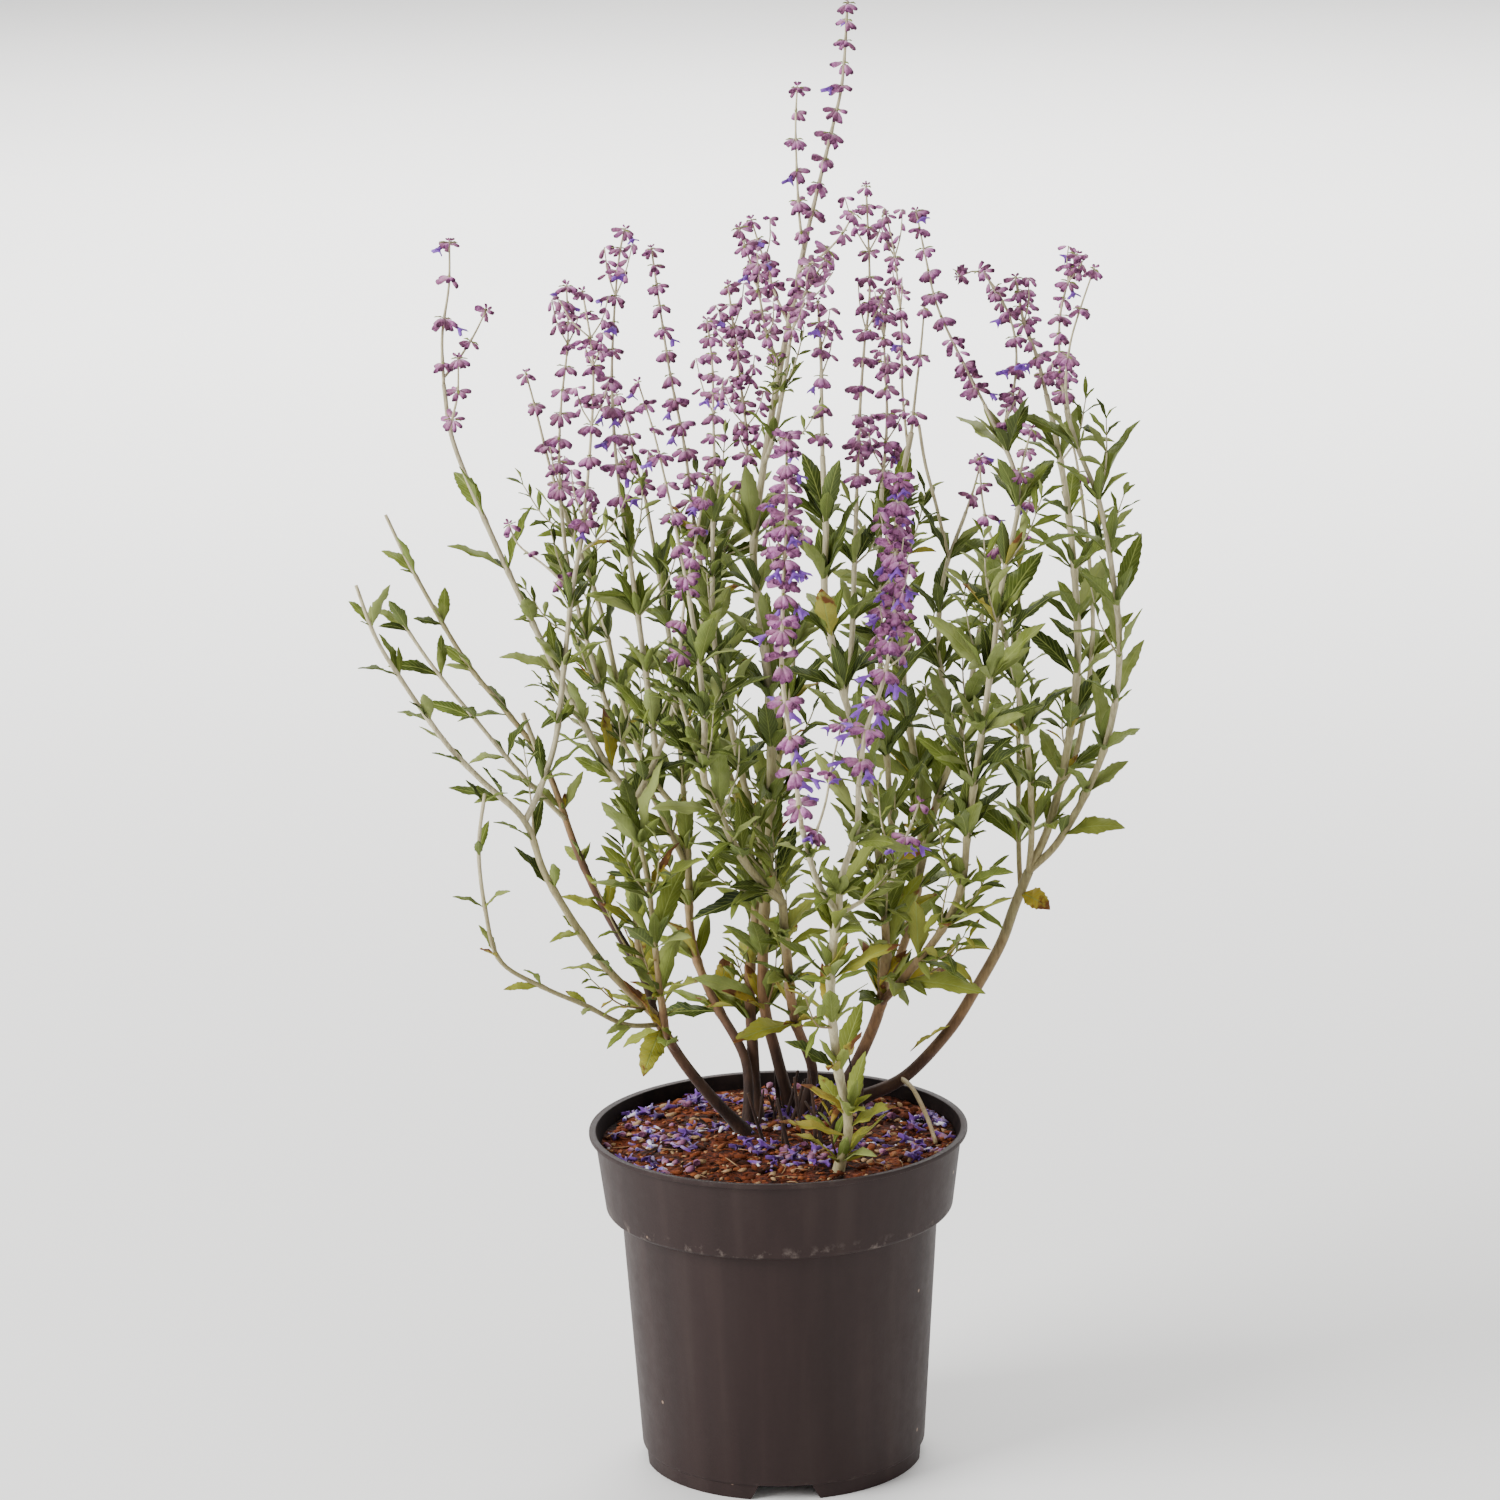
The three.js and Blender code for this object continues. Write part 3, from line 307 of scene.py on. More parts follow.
# %% Pot shape
POT_HEIGHT = 172.4
RIM_RADIUS = 95
RIM_DEPTH = 2.9
LIP_RADIUS = 91.5
COLLAR_TOP_RADIUS = 92.1
COLLAR_FOOT_RADIUS = 87.3
COLLAR_FOOT_HEIGHT = 132
BODY_TOP_RADIUS = 79.6
BODY_FOOT_RADIUS = 71.7
SKIRT_RADIUS = 70.5
SKIRT_HEIGHT = 8
WALL = 2
INNER_STEP_FOOT = 128
INNER_STEP_TOP = 134
PAD_RADIUS = 18
NOTCH_WIDTHS = (43, 26)
NOTCH_DEPTH = 16
NOTCH_MIDDLE = 66.5
DRAIN_RADIUS = 5
DRAIN_PITCH_RADIUS = 56
SKIRT_EDGE = 0.6
COLLAR_NECK = 1.5
COLLAR_CORNER = (1.2, 0.8)
COLLAR_EDGE = 0.6
RIM_EDGE = 0.5
LIP_DROP = 0.3
ROUND_STEPS = 120
LEVEL_WITHIN = 1e-4
EDGE_BEVEL = 0.5
BEVEL_ANGLE = radians(25)
SMOOTH_ANGLE = radians(35)
DRILL_STEPS = 24
DRILL_DEPTH = 6

pot_profile = [
    (0, 0), (PAD_RADIUS, 0), (PAD_RADIUS, SKIRT_HEIGHT),
    (SKIRT_RADIUS - WALL, SKIRT_HEIGHT), (SKIRT_RADIUS - WALL, 0),
    (SKIRT_RADIUS, 0), (SKIRT_RADIUS, SKIRT_HEIGHT - SKIRT_EDGE),
    (BODY_FOOT_RADIUS, SKIRT_HEIGHT),
    (BODY_TOP_RADIUS, COLLAR_FOOT_HEIGHT - COLLAR_NECK),
    (COLLAR_FOOT_RADIUS - COLLAR_CORNER[0], COLLAR_FOOT_HEIGHT - COLLAR_CORNER[1]),
    (COLLAR_FOOT_RADIUS, COLLAR_FOOT_HEIGHT + COLLAR_EDGE),
    (COLLAR_TOP_RADIUS, POT_HEIGHT - RIM_DEPTH),
    (RIM_RADIUS, POT_HEIGHT - RIM_DEPTH + RIM_EDGE), (RIM_RADIUS, POT_HEIGHT),
    (LIP_RADIUS, POT_HEIGHT - LIP_DROP),
    (COLLAR_TOP_RADIUS - WALL, POT_HEIGHT - RIM_DEPTH - WALL),
    (COLLAR_FOOT_RADIUS - WALL, INNER_STEP_TOP),
    (BODY_TOP_RADIUS - WALL, INNER_STEP_FOOT),
    (BODY_FOOT_RADIUS - WALL, SKIRT_HEIGHT + WALL),
    (0, SKIRT_HEIGHT + WALL),
]


def spun(profile, steps):
    """A closed body from [radius, height] pairs, spun once round the axis."""
    body = bmesh.new()
    verts = [body.verts.new((radius, 0, height)) for radius, height in profile]
    edges = [body.edges.new(pair) for pair in zip(verts, verts[1:])]
    bmesh.ops.spin(body, geom=verts + edges, cent=(0, 0, 0), axis=(0, 0, 1),
                   angle=2 * pi, steps=steps, use_merge=True)
    closed_up(body)
    return body


def ring_edges(body, smallest):
    """Edges that run round the axis where the wall turns by more than an angle."""
    level = [e for e in body.edges if abs(e.verts[0].co.z - e.verts[1].co.z) < LEVEL_WITHIN]
    return [edge for edge in level if abs(edge.calc_face_angle(0)) > smallest]


pot_body = spun(pot_profile, ROUND_STEPS)
rings = ring_edges(pot_body, BEVEL_ANGLE)
bmesh.ops.bevel(pot_body, geom=rings, offset=EDGE_BEVEL, offset_type="OFFSET", affect="EDGES",
                segments=2, profile=0.5, material=-1, clamp_overlap=True)
print("pot rings:", len(pot_body.faces), "faces")

# %% [markdown]
# The notch is wider at the foot, so its cutter is a block with a narrowed top. A drain hole is a
# plain drilled round. All eight cutters are joined in one mesh, and one Boolean modifier takes
# them out of the pot. The result is read back as a mesh, so that no modifier stays on the piece.


# %% Notches and drain holes
def cutters():
    """Four notch cutters in the skirt and four drills through the floor."""
    tools = bmesh.new()
    for quarter in range(4):
        turn = Matrix.Rotation(quarter * pi / 2, 4, "Z")
        block = bmesh.ops.create_cube(tools, size=1)["verts"]
        for vert in block:
            width = NOTCH_WIDTHS[0] if vert.co.z < 0 else NOTCH_WIDTHS[1]
            depth = vert.co.y * NOTCH_DEPTH - NOTCH_MIDDLE
            vert.co = turn @ Vector((vert.co.x * width, depth, vert.co.z * 2 * SKIRT_HEIGHT))
        drill = bmesh.ops.create_cone(tools, cap_ends=True, segments=DRILL_STEPS, depth=DRILL_DEPTH,
                                      radius1=DRAIN_RADIUS, radius2=DRAIN_RADIUS)["verts"]
        place = turn @ Vector((0, -DRAIN_PITCH_RADIUS, SKIRT_HEIGHT + WALL / 2))
        bmesh.ops.translate(tools, verts=drill, vec=place)
    return tools


def cut(body, tools):
    """The body without what the tools fill."""
    parts = []
    for shape in (body, tools):
        mesh = bpy.data.meshes.new("cutting")
        shape.to_mesh(mesh)
        shape.free()
        parts.append(show("cutting", mesh))
    cutting = parts[0].modifiers.new("cut", "BOOLEAN")
    cutting.object = parts[1]
    cutting.operation = "DIFFERENCE"
    cutting.solver = "EXACT"
    settled = parts[0].evaluated_get(bpy.context.evaluated_depsgraph_get()).to_mesh()
    result = bmesh.new()
    result.from_mesh(settled)
    for part in parts:
        bpy.data.objects.remove(part)
    return result


pot_body = cut(pot_body, cutters())
for edge in pot_body.edges:
    edge.smooth = edge.calc_face_angle(0) < SMOOTH_ANGLE
for face in pot_body.faces:
    face.smooth = True
print("pot with notches:", len(pot_body.faces), "faces")

# %% [markdown]
# The plastic is a dark grey-brown, dull but not dead: it has a broad soft shine. What makes it
# look real are the small things: vertical flow streaks, pale specks along the collar's lower
# edge, the foot of the body and the rim, partly scuffs where pots rub against each other and
# partly a painted highlight on those edges, and a few specks of dried soil. The streaks stretch
# a noise along the height. The pale bands are masked by a ramp over the lowest 180 millimetres.

# %% Pot finish
SCUFF_AND_HIGHLIGHT_SPAN = 0.18

pot_plastic, tree, shader = new_finish("dark_pot_plastic", {"Specular IOR Level": 0.13})
coords = add(tree, "TexCoord", {}, "Object")
tall = add(tree, "Mapping", {"Vector": coords, "Scale": (60, 60, 4)})
flow = add(tree, "TexNoise", {"Vector": tall, "Scale": 1, "Detail": 3})
stops = [(0.3, "#2c2221"), (0.5, "#302524"), (0.7, "#362b29")]
plastic = add(tree, "ValToRGB", {"Fac": flow}, stops=stops)
height = add(tree, "SeparateXYZ", {"Vector": coords}, "Z")
level = add(tree, "Math", {0: height, 1: SCUFF_AND_HIGHLIGHT_SPAN}, operation="DIVIDE")
# Pale bands at the foot step, the collar's lower edge and the rim: partly scuffs, partly a painted
# highlight on these edges.
rubbed_and_lit_bands = add(tree, "ValToRGB", {"Fac": level}, stops=[
    (0.035, "#000000"), (0.045, "#a0a0a0"), (0.055, "#000000"), (0.715, "#000000"),
    (0.74, "#ffffff"), (0.77, "#202020"), (0.94, "#303030"), (0.965, "#808080"),
])
scratch = add(tree, "TexNoise", {"Vector": coords, "Scale": 110, "Detail": 6, "Roughness": 0.7})
speckled = add(tree, "MapRange", {"Value": scratch, "From Min": 0.52, "From Max": 0.7})
scuff_and_highlight = add(tree, "Math", {0: speckled, 1: rubbed_and_lit_bands}, operation="MULTIPLY")
scuffed_and_highlit = add(
    tree, "Mix", {SHARE: scuff_and_highlight, FIRST: plastic, SECOND: "#6b605a"}, RESULT, data_type="RGBA"
)
dots = add(tree, "TexVoronoi", {"Vector": coords, "Scale": 42, "Randomness": 1})
speck = add(tree, "MapRange", {"Value": dots, "From Min": 0.05, "From Max": 0.03})
specked = add(
    tree, "Mix", {SHARE: speck, FIRST: scuffed_and_highlit, SECOND: "#8a7464"}, RESULT, data_type="RGBA"
)
dull = add(tree, "MapRange", {"Value": scratch, "To Min": 0.42, "To Max": 0.66})
grain = add(tree, "TexNoise", {"Vector": coords, "Scale": 900, "Detail": 2})
uneven = add(tree, "Math", {0: grain, 1: flow}, operation="ADD")
skin = add(tree, "Bump", {"Height": uneven, "Strength": 0.12, "Distance": 0.0004})
feed(tree, shader, {"Base Color": specked, "Roughness": dull, "Normal": skin})

# %% [markdown]
# The inside of the wall lies in shade, so it looks nearly black: a second, darker finish paints
# that shade on the upper faces that look towards the axis.

# %% Painted shade of the inner wall
SHADE_FROM = 140
TOWARDS_AXIS = -0.5

shine = {"Specular IOR Level": 0.08, "Roughness": 0.7}
inner_wall_shade, tree, shader = new_finish("painted_shade_inner_wall", shine)
coords = add(tree, "TexCoord", {}, "Object")
shade_noise = add(tree, "TexNoise", {"Vector": coords, "Scale": 90, "Detail": 4})
# A near-black ramp: painted shade on the inner wall.
shade = add(tree, "ValToRGB", {"Fac": shade_noise}, stops=[(0.35, "#120d0c"), (0.7, "#231a18")])
feed(tree, shader, {"Base Color": shade})
for face in pot_body.faces:
    middle = face.calc_center_median()
    if middle.z > SHADE_FROM and face.normal.xy.dot(middle.xy.normalized()) < TOWARDS_AXIS:
        face.material_index = 1

pot = finish_piece(pot_body, "nursery_pot", [pot_plastic, inner_wall_shade], ["pot"])
print("pot:", triangles(pot), "triangles")

# %% [markdown]
# ## The soil
#
# The pot is filled with coir: rusty brown husk fibre, ground to crumbs. Its top is uneven, and
# at the left it has shrunk away from the wall and left a dark gap. The body is spun like the
# pot, with many rings on top, and these are then moved up and down by a noise. The crumbs, chips
# and fibres that lie on top come in the next step, because they are what the eye sees.

# %% Soil body
SOIL_HEIGHT = 165
SOIL_DOME = 1.6
SOIL_EDGE = 89.4
SOIL_RING = 3
SOIL_STEPS = 110
SOIL_SHOULDER = (1, 8)
SOIL_TOP_ZONE = 1
ROUGH_SCALE = 0.09
ROUGH_HEIGHT = 1.5
ROUGH_SLICE = 3
GAP_SIDE = (-84, -6)
GAP_REACH = 22
GAP_DEPTH = 5
FIT_GAP = 0.3


def soil_top(x, y):
    """Height of the soil at a place."""
    dome = SOIL_DOME * (1 - (x * x + y * y) / SOIL_EDGE**2)
    lump = noise.noise(Vector((x, y, ROUGH_SLICE)) * ROUGH_SCALE) * ROUGH_HEIGHT
    away = hypot(x - GAP_SIDE[0], y - GAP_SIDE[1])
    return SOIL_HEIGHT + dome + lump - GAP_DEPTH * max(0, 1 - away / GAP_REACH)


soil_profile = [
    (0, SKIRT_HEIGHT + WALL + FIT_GAP),
    (BODY_FOOT_RADIUS - WALL - FIT_GAP, SKIRT_HEIGHT + WALL + FIT_GAP),
    (BODY_TOP_RADIUS - WALL - FIT_GAP, INNER_STEP_FOOT),
    (COLLAR_FOOT_RADIUS - WALL - FIT_GAP, INNER_STEP_TOP),
    (SOIL_EDGE - SOIL_SHOULDER[0], SOIL_HEIGHT - SOIL_SHOULDER[1]),
]
rings = int(SOIL_EDGE / SOIL_RING)
soil_profile += [(SOIL_EDGE * (rings - k) / rings, SOIL_HEIGHT) for k in range(rings + 1)]
soil_body = spun(soil_profile, SOIL_STEPS)
for vert in soil_body.verts:
    if vert.co.z > SOIL_HEIGHT - SOIL_TOP_ZONE:
        vert.co.z = soil_top(vert.co.x, vert.co.y)
for face in soil_body.faces:
    face.smooth = True
print("soil:", len(soil_body.faces), "faces")

# %% [markdown]
# Coir has three colours at once: rust where the fibre is fresh, dark brown where it is wet, and
# tan where it has dried. Two noises of different size mix them, and a cell pattern gives a bump
# of crumbs about three millimetres across.

# %% Soil finish
coir, tree, shader = new_finish("coir_soil", {"Specular IOR Level": 0.15, "Roughness": 0.95})
coords = add(tree, "TexCoord", {}, "Object")
fine = add(tree, "TexNoise", {"Vector": coords, "Scale": 420, "Detail": 4, "Roughness": 0.65})
broad = add(tree, "TexNoise", {"Vector": coords, "Scale": 45, "Detail": 2})
mixed = add(tree, "Math", {0: fine, 1: broad}, operation="MULTIPLY")
stops = [(0.14, "#160c08"), (0.22, "#3a1a0e"), (0.3, "#6a3019"), (0.4, "#8d5230")]
husk = add(tree, "ValToRGB", {"Fac": mixed}, stops=stops)
crumbly = add(tree, "TexVoronoi", {"Vector": coords, "Scale": 330})
rough = add(tree, "Bump", {"Height": crumbly, "Strength": 0.9, "Distance": 0.0015})
feed(tree, shader, {"Base Color": husk, "Normal": rough})

soil = finish_piece(soil_body, "coir_soil", [coir], ["soil"])
print("soil:", triangles(soil), "triangles")

# %% [markdown]
# ## The plan of the plant
#
# The canes, their branches and the flower spikes were read from the photograph as lines of
# points, in millimetres. These tables are the same as in the plain model, because a finer stem
# has to run where the plain one does. A stem has a name, a parent, a radius at its base and one at
# its end, the stretch that carries leaves with the leaf length, and its points. A spike has a
# name, a parent, the number of its whorls, how far a whorl reaches, and the radius of its axis.

# %% Stems
stems = []


def stem(name, parent, base_radius, end_radius, leaves, *points):
    """Notes down one stem."""
    radii = (base_radius, end_radius)
    stems.append(dict(name=name, parent=parent, radii=radii, leaves=leaves, points=points))


# The left cane leans out over the rim and ends in the plant's widest branches
stem("left", "soil", 3.2, 2.4, None,
    (-6, 10, 146), (-14, 5, 164), (-33, -4, 189), (-48, -12, 212), (-60, -18, 236))
stem("left_low", "left", 2.1, 0.8, (0.12, 0.95, 21),
    (-60, -18, 236), (-86, -32, 269), (-110, -45, 314), (-120, -52, 345), (-140, -60, 368),
    (-156, -66, 388), (-175, -74, 420), (-187, -78, 443), (-195, -82, 469))
stem("left_pale", "left_low", 1.5, 1, (0.15, 0.95, 20),
    (-120, -52, 345), (-112, -48, 361), (-104, -42, 385), (-99, -32, 423), (-95, -24, 453),
    (-90, -20, 477))
stem("left_brown", "left", 2.1, 0.8, (0.2, 0.95, 19),
    (-60, -18, 236), (-66, -8, 254), (-84, 8, 283), (-98, 20, 312), (-113, 34, 352),
    (-132, 40, 379), (-152, 46, 404), (-177, 52, 449), (-190, 56, 477))
stem("left_stub", "left_brown", 1.4, 1.1, None, (-113, 34, 352), (-118, 30, 365), (-123, 26, 381))
stem("left_thin", "left_brown", 1.2, 0.8, (0.15, 1, 20),
    (-103, 25, 326), (-114, 18, 340), (-129, 6, 361), (-147, -5, 388), (-157, -8, 402),
    (-169, -10, 420), (-182, -12, 442))
stem("left_tan", "left_brown", 2.1, 1, (0.08, 0.8, 27),
    (-66, -8, 254), (-68, -12, 284), (-69, -20, 343), (-81, -14, 363), (-100, -4, 399),
    (-118, 4, 436), (-137, 14, 478), (-153, 22, 519), (-157, 26, 547))
stem("left_yellow", "left_tan", 1.6, 0.9, (0.2, 0.8, 24),
    (-69, -20, 343), (-57, -32, 369), (-48, -42, 395), (-44, -48, 418))
stem("left_pale_b", "left_yellow", 1.6, 1, (0.1, 0.95, 27),
    (-56, -33, 372), (-59, -28, 399), (-62, -22, 425), (-66, -16, 458), (-70, -10, 487))
stem("left_droop", "left", 1.3, 0.8, (0.08, 1, 16),
    (-58, -17, 231), (-75, -28, 235), (-94, -38, 248), (-114, -46, 260), (-134, -54, 276),
    (-140, -60, 303), (-142, -66, 335), (-138, -72, 364))
stem("left_grey", "left", 1.8, 1, (0.1, 1, 33),
    (-49, -12, 214), (-55, -24, 231), (-58, -36, 267), (-61, -46, 308), (-65, -54, 336))

# The back left cane splits at mid height into three flowering stems
stem("back_left", "soil", 2.6, 1.7, (0.3, 1, 30),
    (-15, 12, 146), (-15, 20, 168), (-16, 34, 197), (-32, 50, 225), (-42, 60, 253), (-43, 64, 289),
    (-44, 66, 315))
stem("back_left_a", "back_left", 1.4, 0.9, (0.1, 0.92, 27),
    (-44, 66, 315), (-46, 66, 356), (-49, 62, 401), (-54, 56, 441), (-60, 50, 483))
stem("back_left_b", "back_left", 1.5, 1.1, (0.1, 0.95, 23),
    (-44, 66, 315), (-62, 78, 337), (-75, 86, 373), (-85, 88, 420), (-97, 86, 457), (-104, 84, 478))
stem("back_left_c", "back_left", 1.5, 0.9, (0.1, 0.92, 25),
    (-43, 64, 289), (-59, 58, 327), (-78, 56, 366), (-90, 52, 407), (-99, 48, 449), (-102, 44, 482))

# The back cane stands nearly upright behind the tall one
stem("back", "soil", 3.3, 2.1, (0.5, 1, 30),
    (-11, 30, 146), (-11, 34, 167), (-12, 40, 200), (-13, 46, 235), (-10, 52, 260), (-8, 58, 279))
stem("back_a", "back", 2, 1.3, (0.05, 0.95, 29),
    (-8, 58, 279), (-16, 78, 316), (-27, 92, 350), (-34, 100, 380), (-33, 104, 413),
    (-23, 102, 444), (-14, 98, 473))
stem("back_stub", "back_a", 1.1, 0.9, None, (-18, 100, 460), (-17, 103, 470), (-15, 105, 482))
stem("back_b", "back", 1.7, 1, (0.1, 1, 29),
    (-8, 58, 279), (-3, 72, 307), (4, 86, 340), (11, 98, 374), (14, 106, 409))

# The tall cane carries the highest spikes and has few leaves on its upper half
stem("tall", "soil", 3, 1.2, (0.22, 0.72, 33),
    (8, 46, 146), (7, 42, 166), (0, 36, 198), (-6, 32, 229), (-5, 28, 272), (-1, 20, 325),
    (0, 12, 383), (-4, 4, 431), (-7, 0, 464), (-2, -4, 504), (6, -8, 549), (14, -6, 587),
    (22, 0, 622))
stem("tall_side", "tall", 1.2, 0.9, (0.25, 0.95, 19),
    (-2, -4, 507), (4, -14, 525), (9, -26, 552), (12, -34, 572))

# The centre cane leans to the front and splits low down
stem("centre", "soil", 2.7, 2.1, (0.35, 1, 34),
    (16, 30, 146), (13, 32, 169), (18, 22, 194), (9, 2, 228), (6, -16, 263), (4, -30, 296))
stem("centre_a", "centre", 2, 1, (0.05, 0.95, 33),
    (4, -30, 296), (-14, -46, 321), (-28, -60, 354), (-33, -66, 370), (-32, -74, 396),
    (-34, -82, 430), (-38, -86, 462))
stem("centre_a2", "centre_a", 1.2, 0.8, (0.2, 1, 22),
    (-33, -66, 370), (-39, -68, 391), (-45, -74, 415))
stem("centre_b", "centre", 1.7, 1, (0.05, 0.95, 30),
    (4, -30, 296), (-3, -24, 316), (-13, -12, 349), (-22, 2, 391), (-30, 16, 436), (-36, 26, 477))
stem("centre_c", "centre_b", 1.3, 0.9, (0.1, 0.9, 24),
    (-22, 2, 391), (-27, -8, 424), (-27, -18, 465), (-25, -24, 508))

# The near right cane has the most branches
stem("near_right", "soil", 3.3, 2.5, (0.5, 1, 37),
    (24, 36, 146), (26, 40, 165), (42, 42, 194), (53, 30, 226), (56, 18, 260))
stem("near_right_a", "near_right", 2, 1.3, (0.05, 0.95, 33),
    (56, 18, 260), (53, -2, 304), (45, -24, 363), (33, -36, 411), (27, -38, 451), (28, -36, 483),
    (27, -32, 518))
stem("near_right_b", "near_right_a", 1.4, 1, (0.1, 0.92, 27),
    (36, -34, 400), (40, -20, 425), (42, -6, 457), (44, 6, 492))
stem("near_right_c", "near_right", 1.7, 1, (0.05, 0.93, 29),
    (56, 18, 260), (60, 34, 290), (59, 50, 337), (56, 62, 392), (56, 68, 442), (58, 68, 483))
stem("near_right_d", "near_right", 2.1, 1.4, (0.12, 0.95, 31),
    (53, 30, 226), (61, 40, 242), (71, 58, 266), (76, 74, 294), (75, 86, 326), (69, 98, 373),
    (66, 100, 425), (67, 98, 469), (74, 94, 507))
stem("near_right_f", "near_right", 2.1, 0.9, (0.06, 0.97, 33),
    (53, 30, 226), (68, 2, 252), (83, -20, 279), (92, -32, 304), (95, -40, 336), (101, -48, 380),
    (107, -52, 423), (112, -50, 459), (120, -44, 493), (118, -40, 512), (105, -30, 541))
stem("near_right_j", "near_right_d", 2, 1, (0.08, 1, 28),
    (75, 70, 284), (84, 62, 324), (94, 50, 355), (100, 42, 385), (105, 32, 420), (110, 26, 446))
stem("near_right_k", "near_right_j", 1.4, 0.9, (0.1, 0.95, 26),
    (94, 50, 355), (88, 64, 380), (86, 76, 409), (90, 82, 438), (101, 88, 467))
stem("near_right_twig", "near_right_k", 0.9, 0.8, None,
    (92, 83, 443), (86, 92, 470), (81, 97, 490), (78, 100, 510))

# The far right cane runs out low over the rim and then turns up. A dry stalk hangs from it to
# the soil.
stem("far_right", "soil", 3.2, 2.4, None,
    (31, 60, 148), (37, 56, 167), (45, 48, 172), (66, 52, 181), (88, 56, 203), (102, 56, 225),
    (115, 52, 250), (122, 48, 271), (129, 44, 290))
stem("far_right_a", "far_right", 1.6, 0.9, (0.15, 1, 29),
    (129, 44, 290), (130, 34, 314), (128, 20, 354), (122, 8, 392), (114, -4, 426), (111, -10, 446))
stem("far_right_b", "far_right", 1.3, 0.8, (0.15, 0.95, 29),
    (125, 47, 278), (125, 62, 302), (126, 76, 348), (127, 86, 401), (128, 90, 446))
stem("far_right_c", "far_right", 2.1, 1.3, (0.1, 0.95, 29),
    (129, 44, 290), (139, 38, 315), (147, 30, 352), (152, 22, 393), (152, 18, 430), (148, 14, 478),
    (142, 10, 516), (137, 8, 539))
stem("far_right_d", "far_right", 1.9, 1, (0.1, 0.95, 32),
    (129, 44, 290), (144, 36, 308), (160, 22, 343), (169, 6, 379), (171, -8, 420), (166, -18, 462),
    (160, -24, 492), (150, -28, 518), (144, -30, 538))
stem("far_right_e", "far_right_c", 1.4, 0.8, (0.1, 0.93, 29),
    (143, 34, 334), (152, 48, 345), (159, 58, 372), (163, 62, 410), (161, 60, 449), (157, 56, 483))
stem("far_right_stalk", "far_right", 1.3, 1, None,
    (64, 51, 180), (69, 24, 182), (75, -2, 175), (78, -26, 170))

# The pale front shoot comes out of the soil on its own
stem("front", "soil", 2.3, 1.9, (0.3, 1, 30),
    (27, -50, 146), (29, -55, 166), (34, -64, 192), (29, -76, 226), (26, -90, 263), (27, -100, 291),
    (30, -106, 310))
stem("front_a", "front", 1.5, 1.2, (0.2, 0.8, 22),
    (30, -106, 310), (20, -118, 330), (13, -130, 359))
stem("front_b", "front", 1.6, 1.3, (0.15, 0.85, 26),
    (30, -106, 310), (32, -112, 331), (39, -118, 354), (40, -122, 377))
stem("front_c", "front", 1.2, 0.8, (0.3, 0.9, 22),
    (30, -106, 310), (41, -98, 314), (54, -90, 318), (59, -84, 333))
print(len(stems), "stems")

# %% Flower spikes
spikes = []


def spike(name, parent, whorls, reach, radius, *points):
    """Notes down one flower spike."""
    plan = dict(name=name, parent=parent, whorls=whorls, reach=reach, radius=radius)
    spikes.append(dict(plan, points=points))


spike("left_pale", "left_pale", 9, 7, 0.8,
    (-90, -20, 477), (-86, -14, 510), (-83, -10, 544), (-83, -8, 568), (-87, -4, 596))
spike("left_outer", "left_tan", 4, 8, 0.8,
    (-157, 26, 547), (-157, 28, 571), (-153, 28, 595), (-152, 28, 617))
spike("left_twig_a", "left_tan", 3, 6, 0.7,
    (-154, 23, 526), (-152, 13, 534), (-149, 5, 546), (-148, 1, 564))
spike("left_twig_b", "left_tan", 3, 6, 0.7,
    (-157, 26, 550), (-151, 37, 556), (-143, 46, 567), (-136, 50, 580))
spike("left_side", "left_pale", 3, 6, 0.7,
    (-95, -24, 452), (-108, -14, 463), (-121, -6, 472), (-126, -2, 482))
spike("left_yellow", "left_yellow", 7, 7, 0.8,
    (-44, -48, 418), (-41, -56, 449), (-36, -60, 476), (-32, -62, 496), (-28, -62, 516))
spike("left_b", "left_pale_b", 11, 7, 0.8,
    (-70, -10, 487), (-73, -4, 518), (-74, 2, 551), (-72, 6, 585), (-69, 8, 611), (-66, 8, 624))
spike("back_left_a", "back_left_a", 5, 6.5, 0.7,
    (-60, 50, 483), (-65, 46, 505), (-68, 44, 522), (-73, 42, 538))
spike("back_left_b", "back_left_b", 4, 6.5, 0.8,
    (-104, 84, 478), (-109, 82, 498), (-114, 80, 522), (-119, 78, 544))
spike("back_left_c", "back_left_c", 10, 7, 0.7,
    (-102, 44, 482), (-102, 42, 510), (-100, 40, 536), (-96, 38, 566), (-96, 38, 593))
spike("back_a", "back_a", 9, 7, 0.8,
    (-14, 98, 473), (-9, 94, 500), (-11, 90, 528), (-14, 86, 557), (-17, 84, 585))
spike("tall", "tall", 10, 7, 1,
    (22, 0, 622), (28, 2, 645), (35, 4, 672), (40, 6, 694), (43, 6, 731))
spike("tall_twin", "tall", 6, 6.5, 0.7,
    (20, -2, 613), (18, -10, 631), (17, -14, 658), (17, -14, 677), (18, -14, 693))
spike("tall_left", "tall", 5, 6.5, 0.7, (12, -7, 578), (6, 5, 591), (1, 13, 606), (-5, 18, 626))
spike("tall_left_b", "tall", 7, 6.5, 0.7,
    (8, -8, 556), (1, -22, 578), (-3, -30, 601), (-11, -34, 629))
spike("tall_right", "tall", 4, 6.5, 0.7,
    (17, -3, 603), (28, -16, 612), (37, -24, 622), (44, -28, 634))
spike("tall_side", "tall_side", 5, 6, 0.7,
    (12, -34, 572), (16, -39, 589), (22, -42, 602), (30, -42, 614))
spike("centre_a", "centre_a", 8, 7, 0.7,
    (-38, -86, 462), (-43, -84, 491), (-48, -78, 516), (-53, -72, 538), (-60, -66, 561))
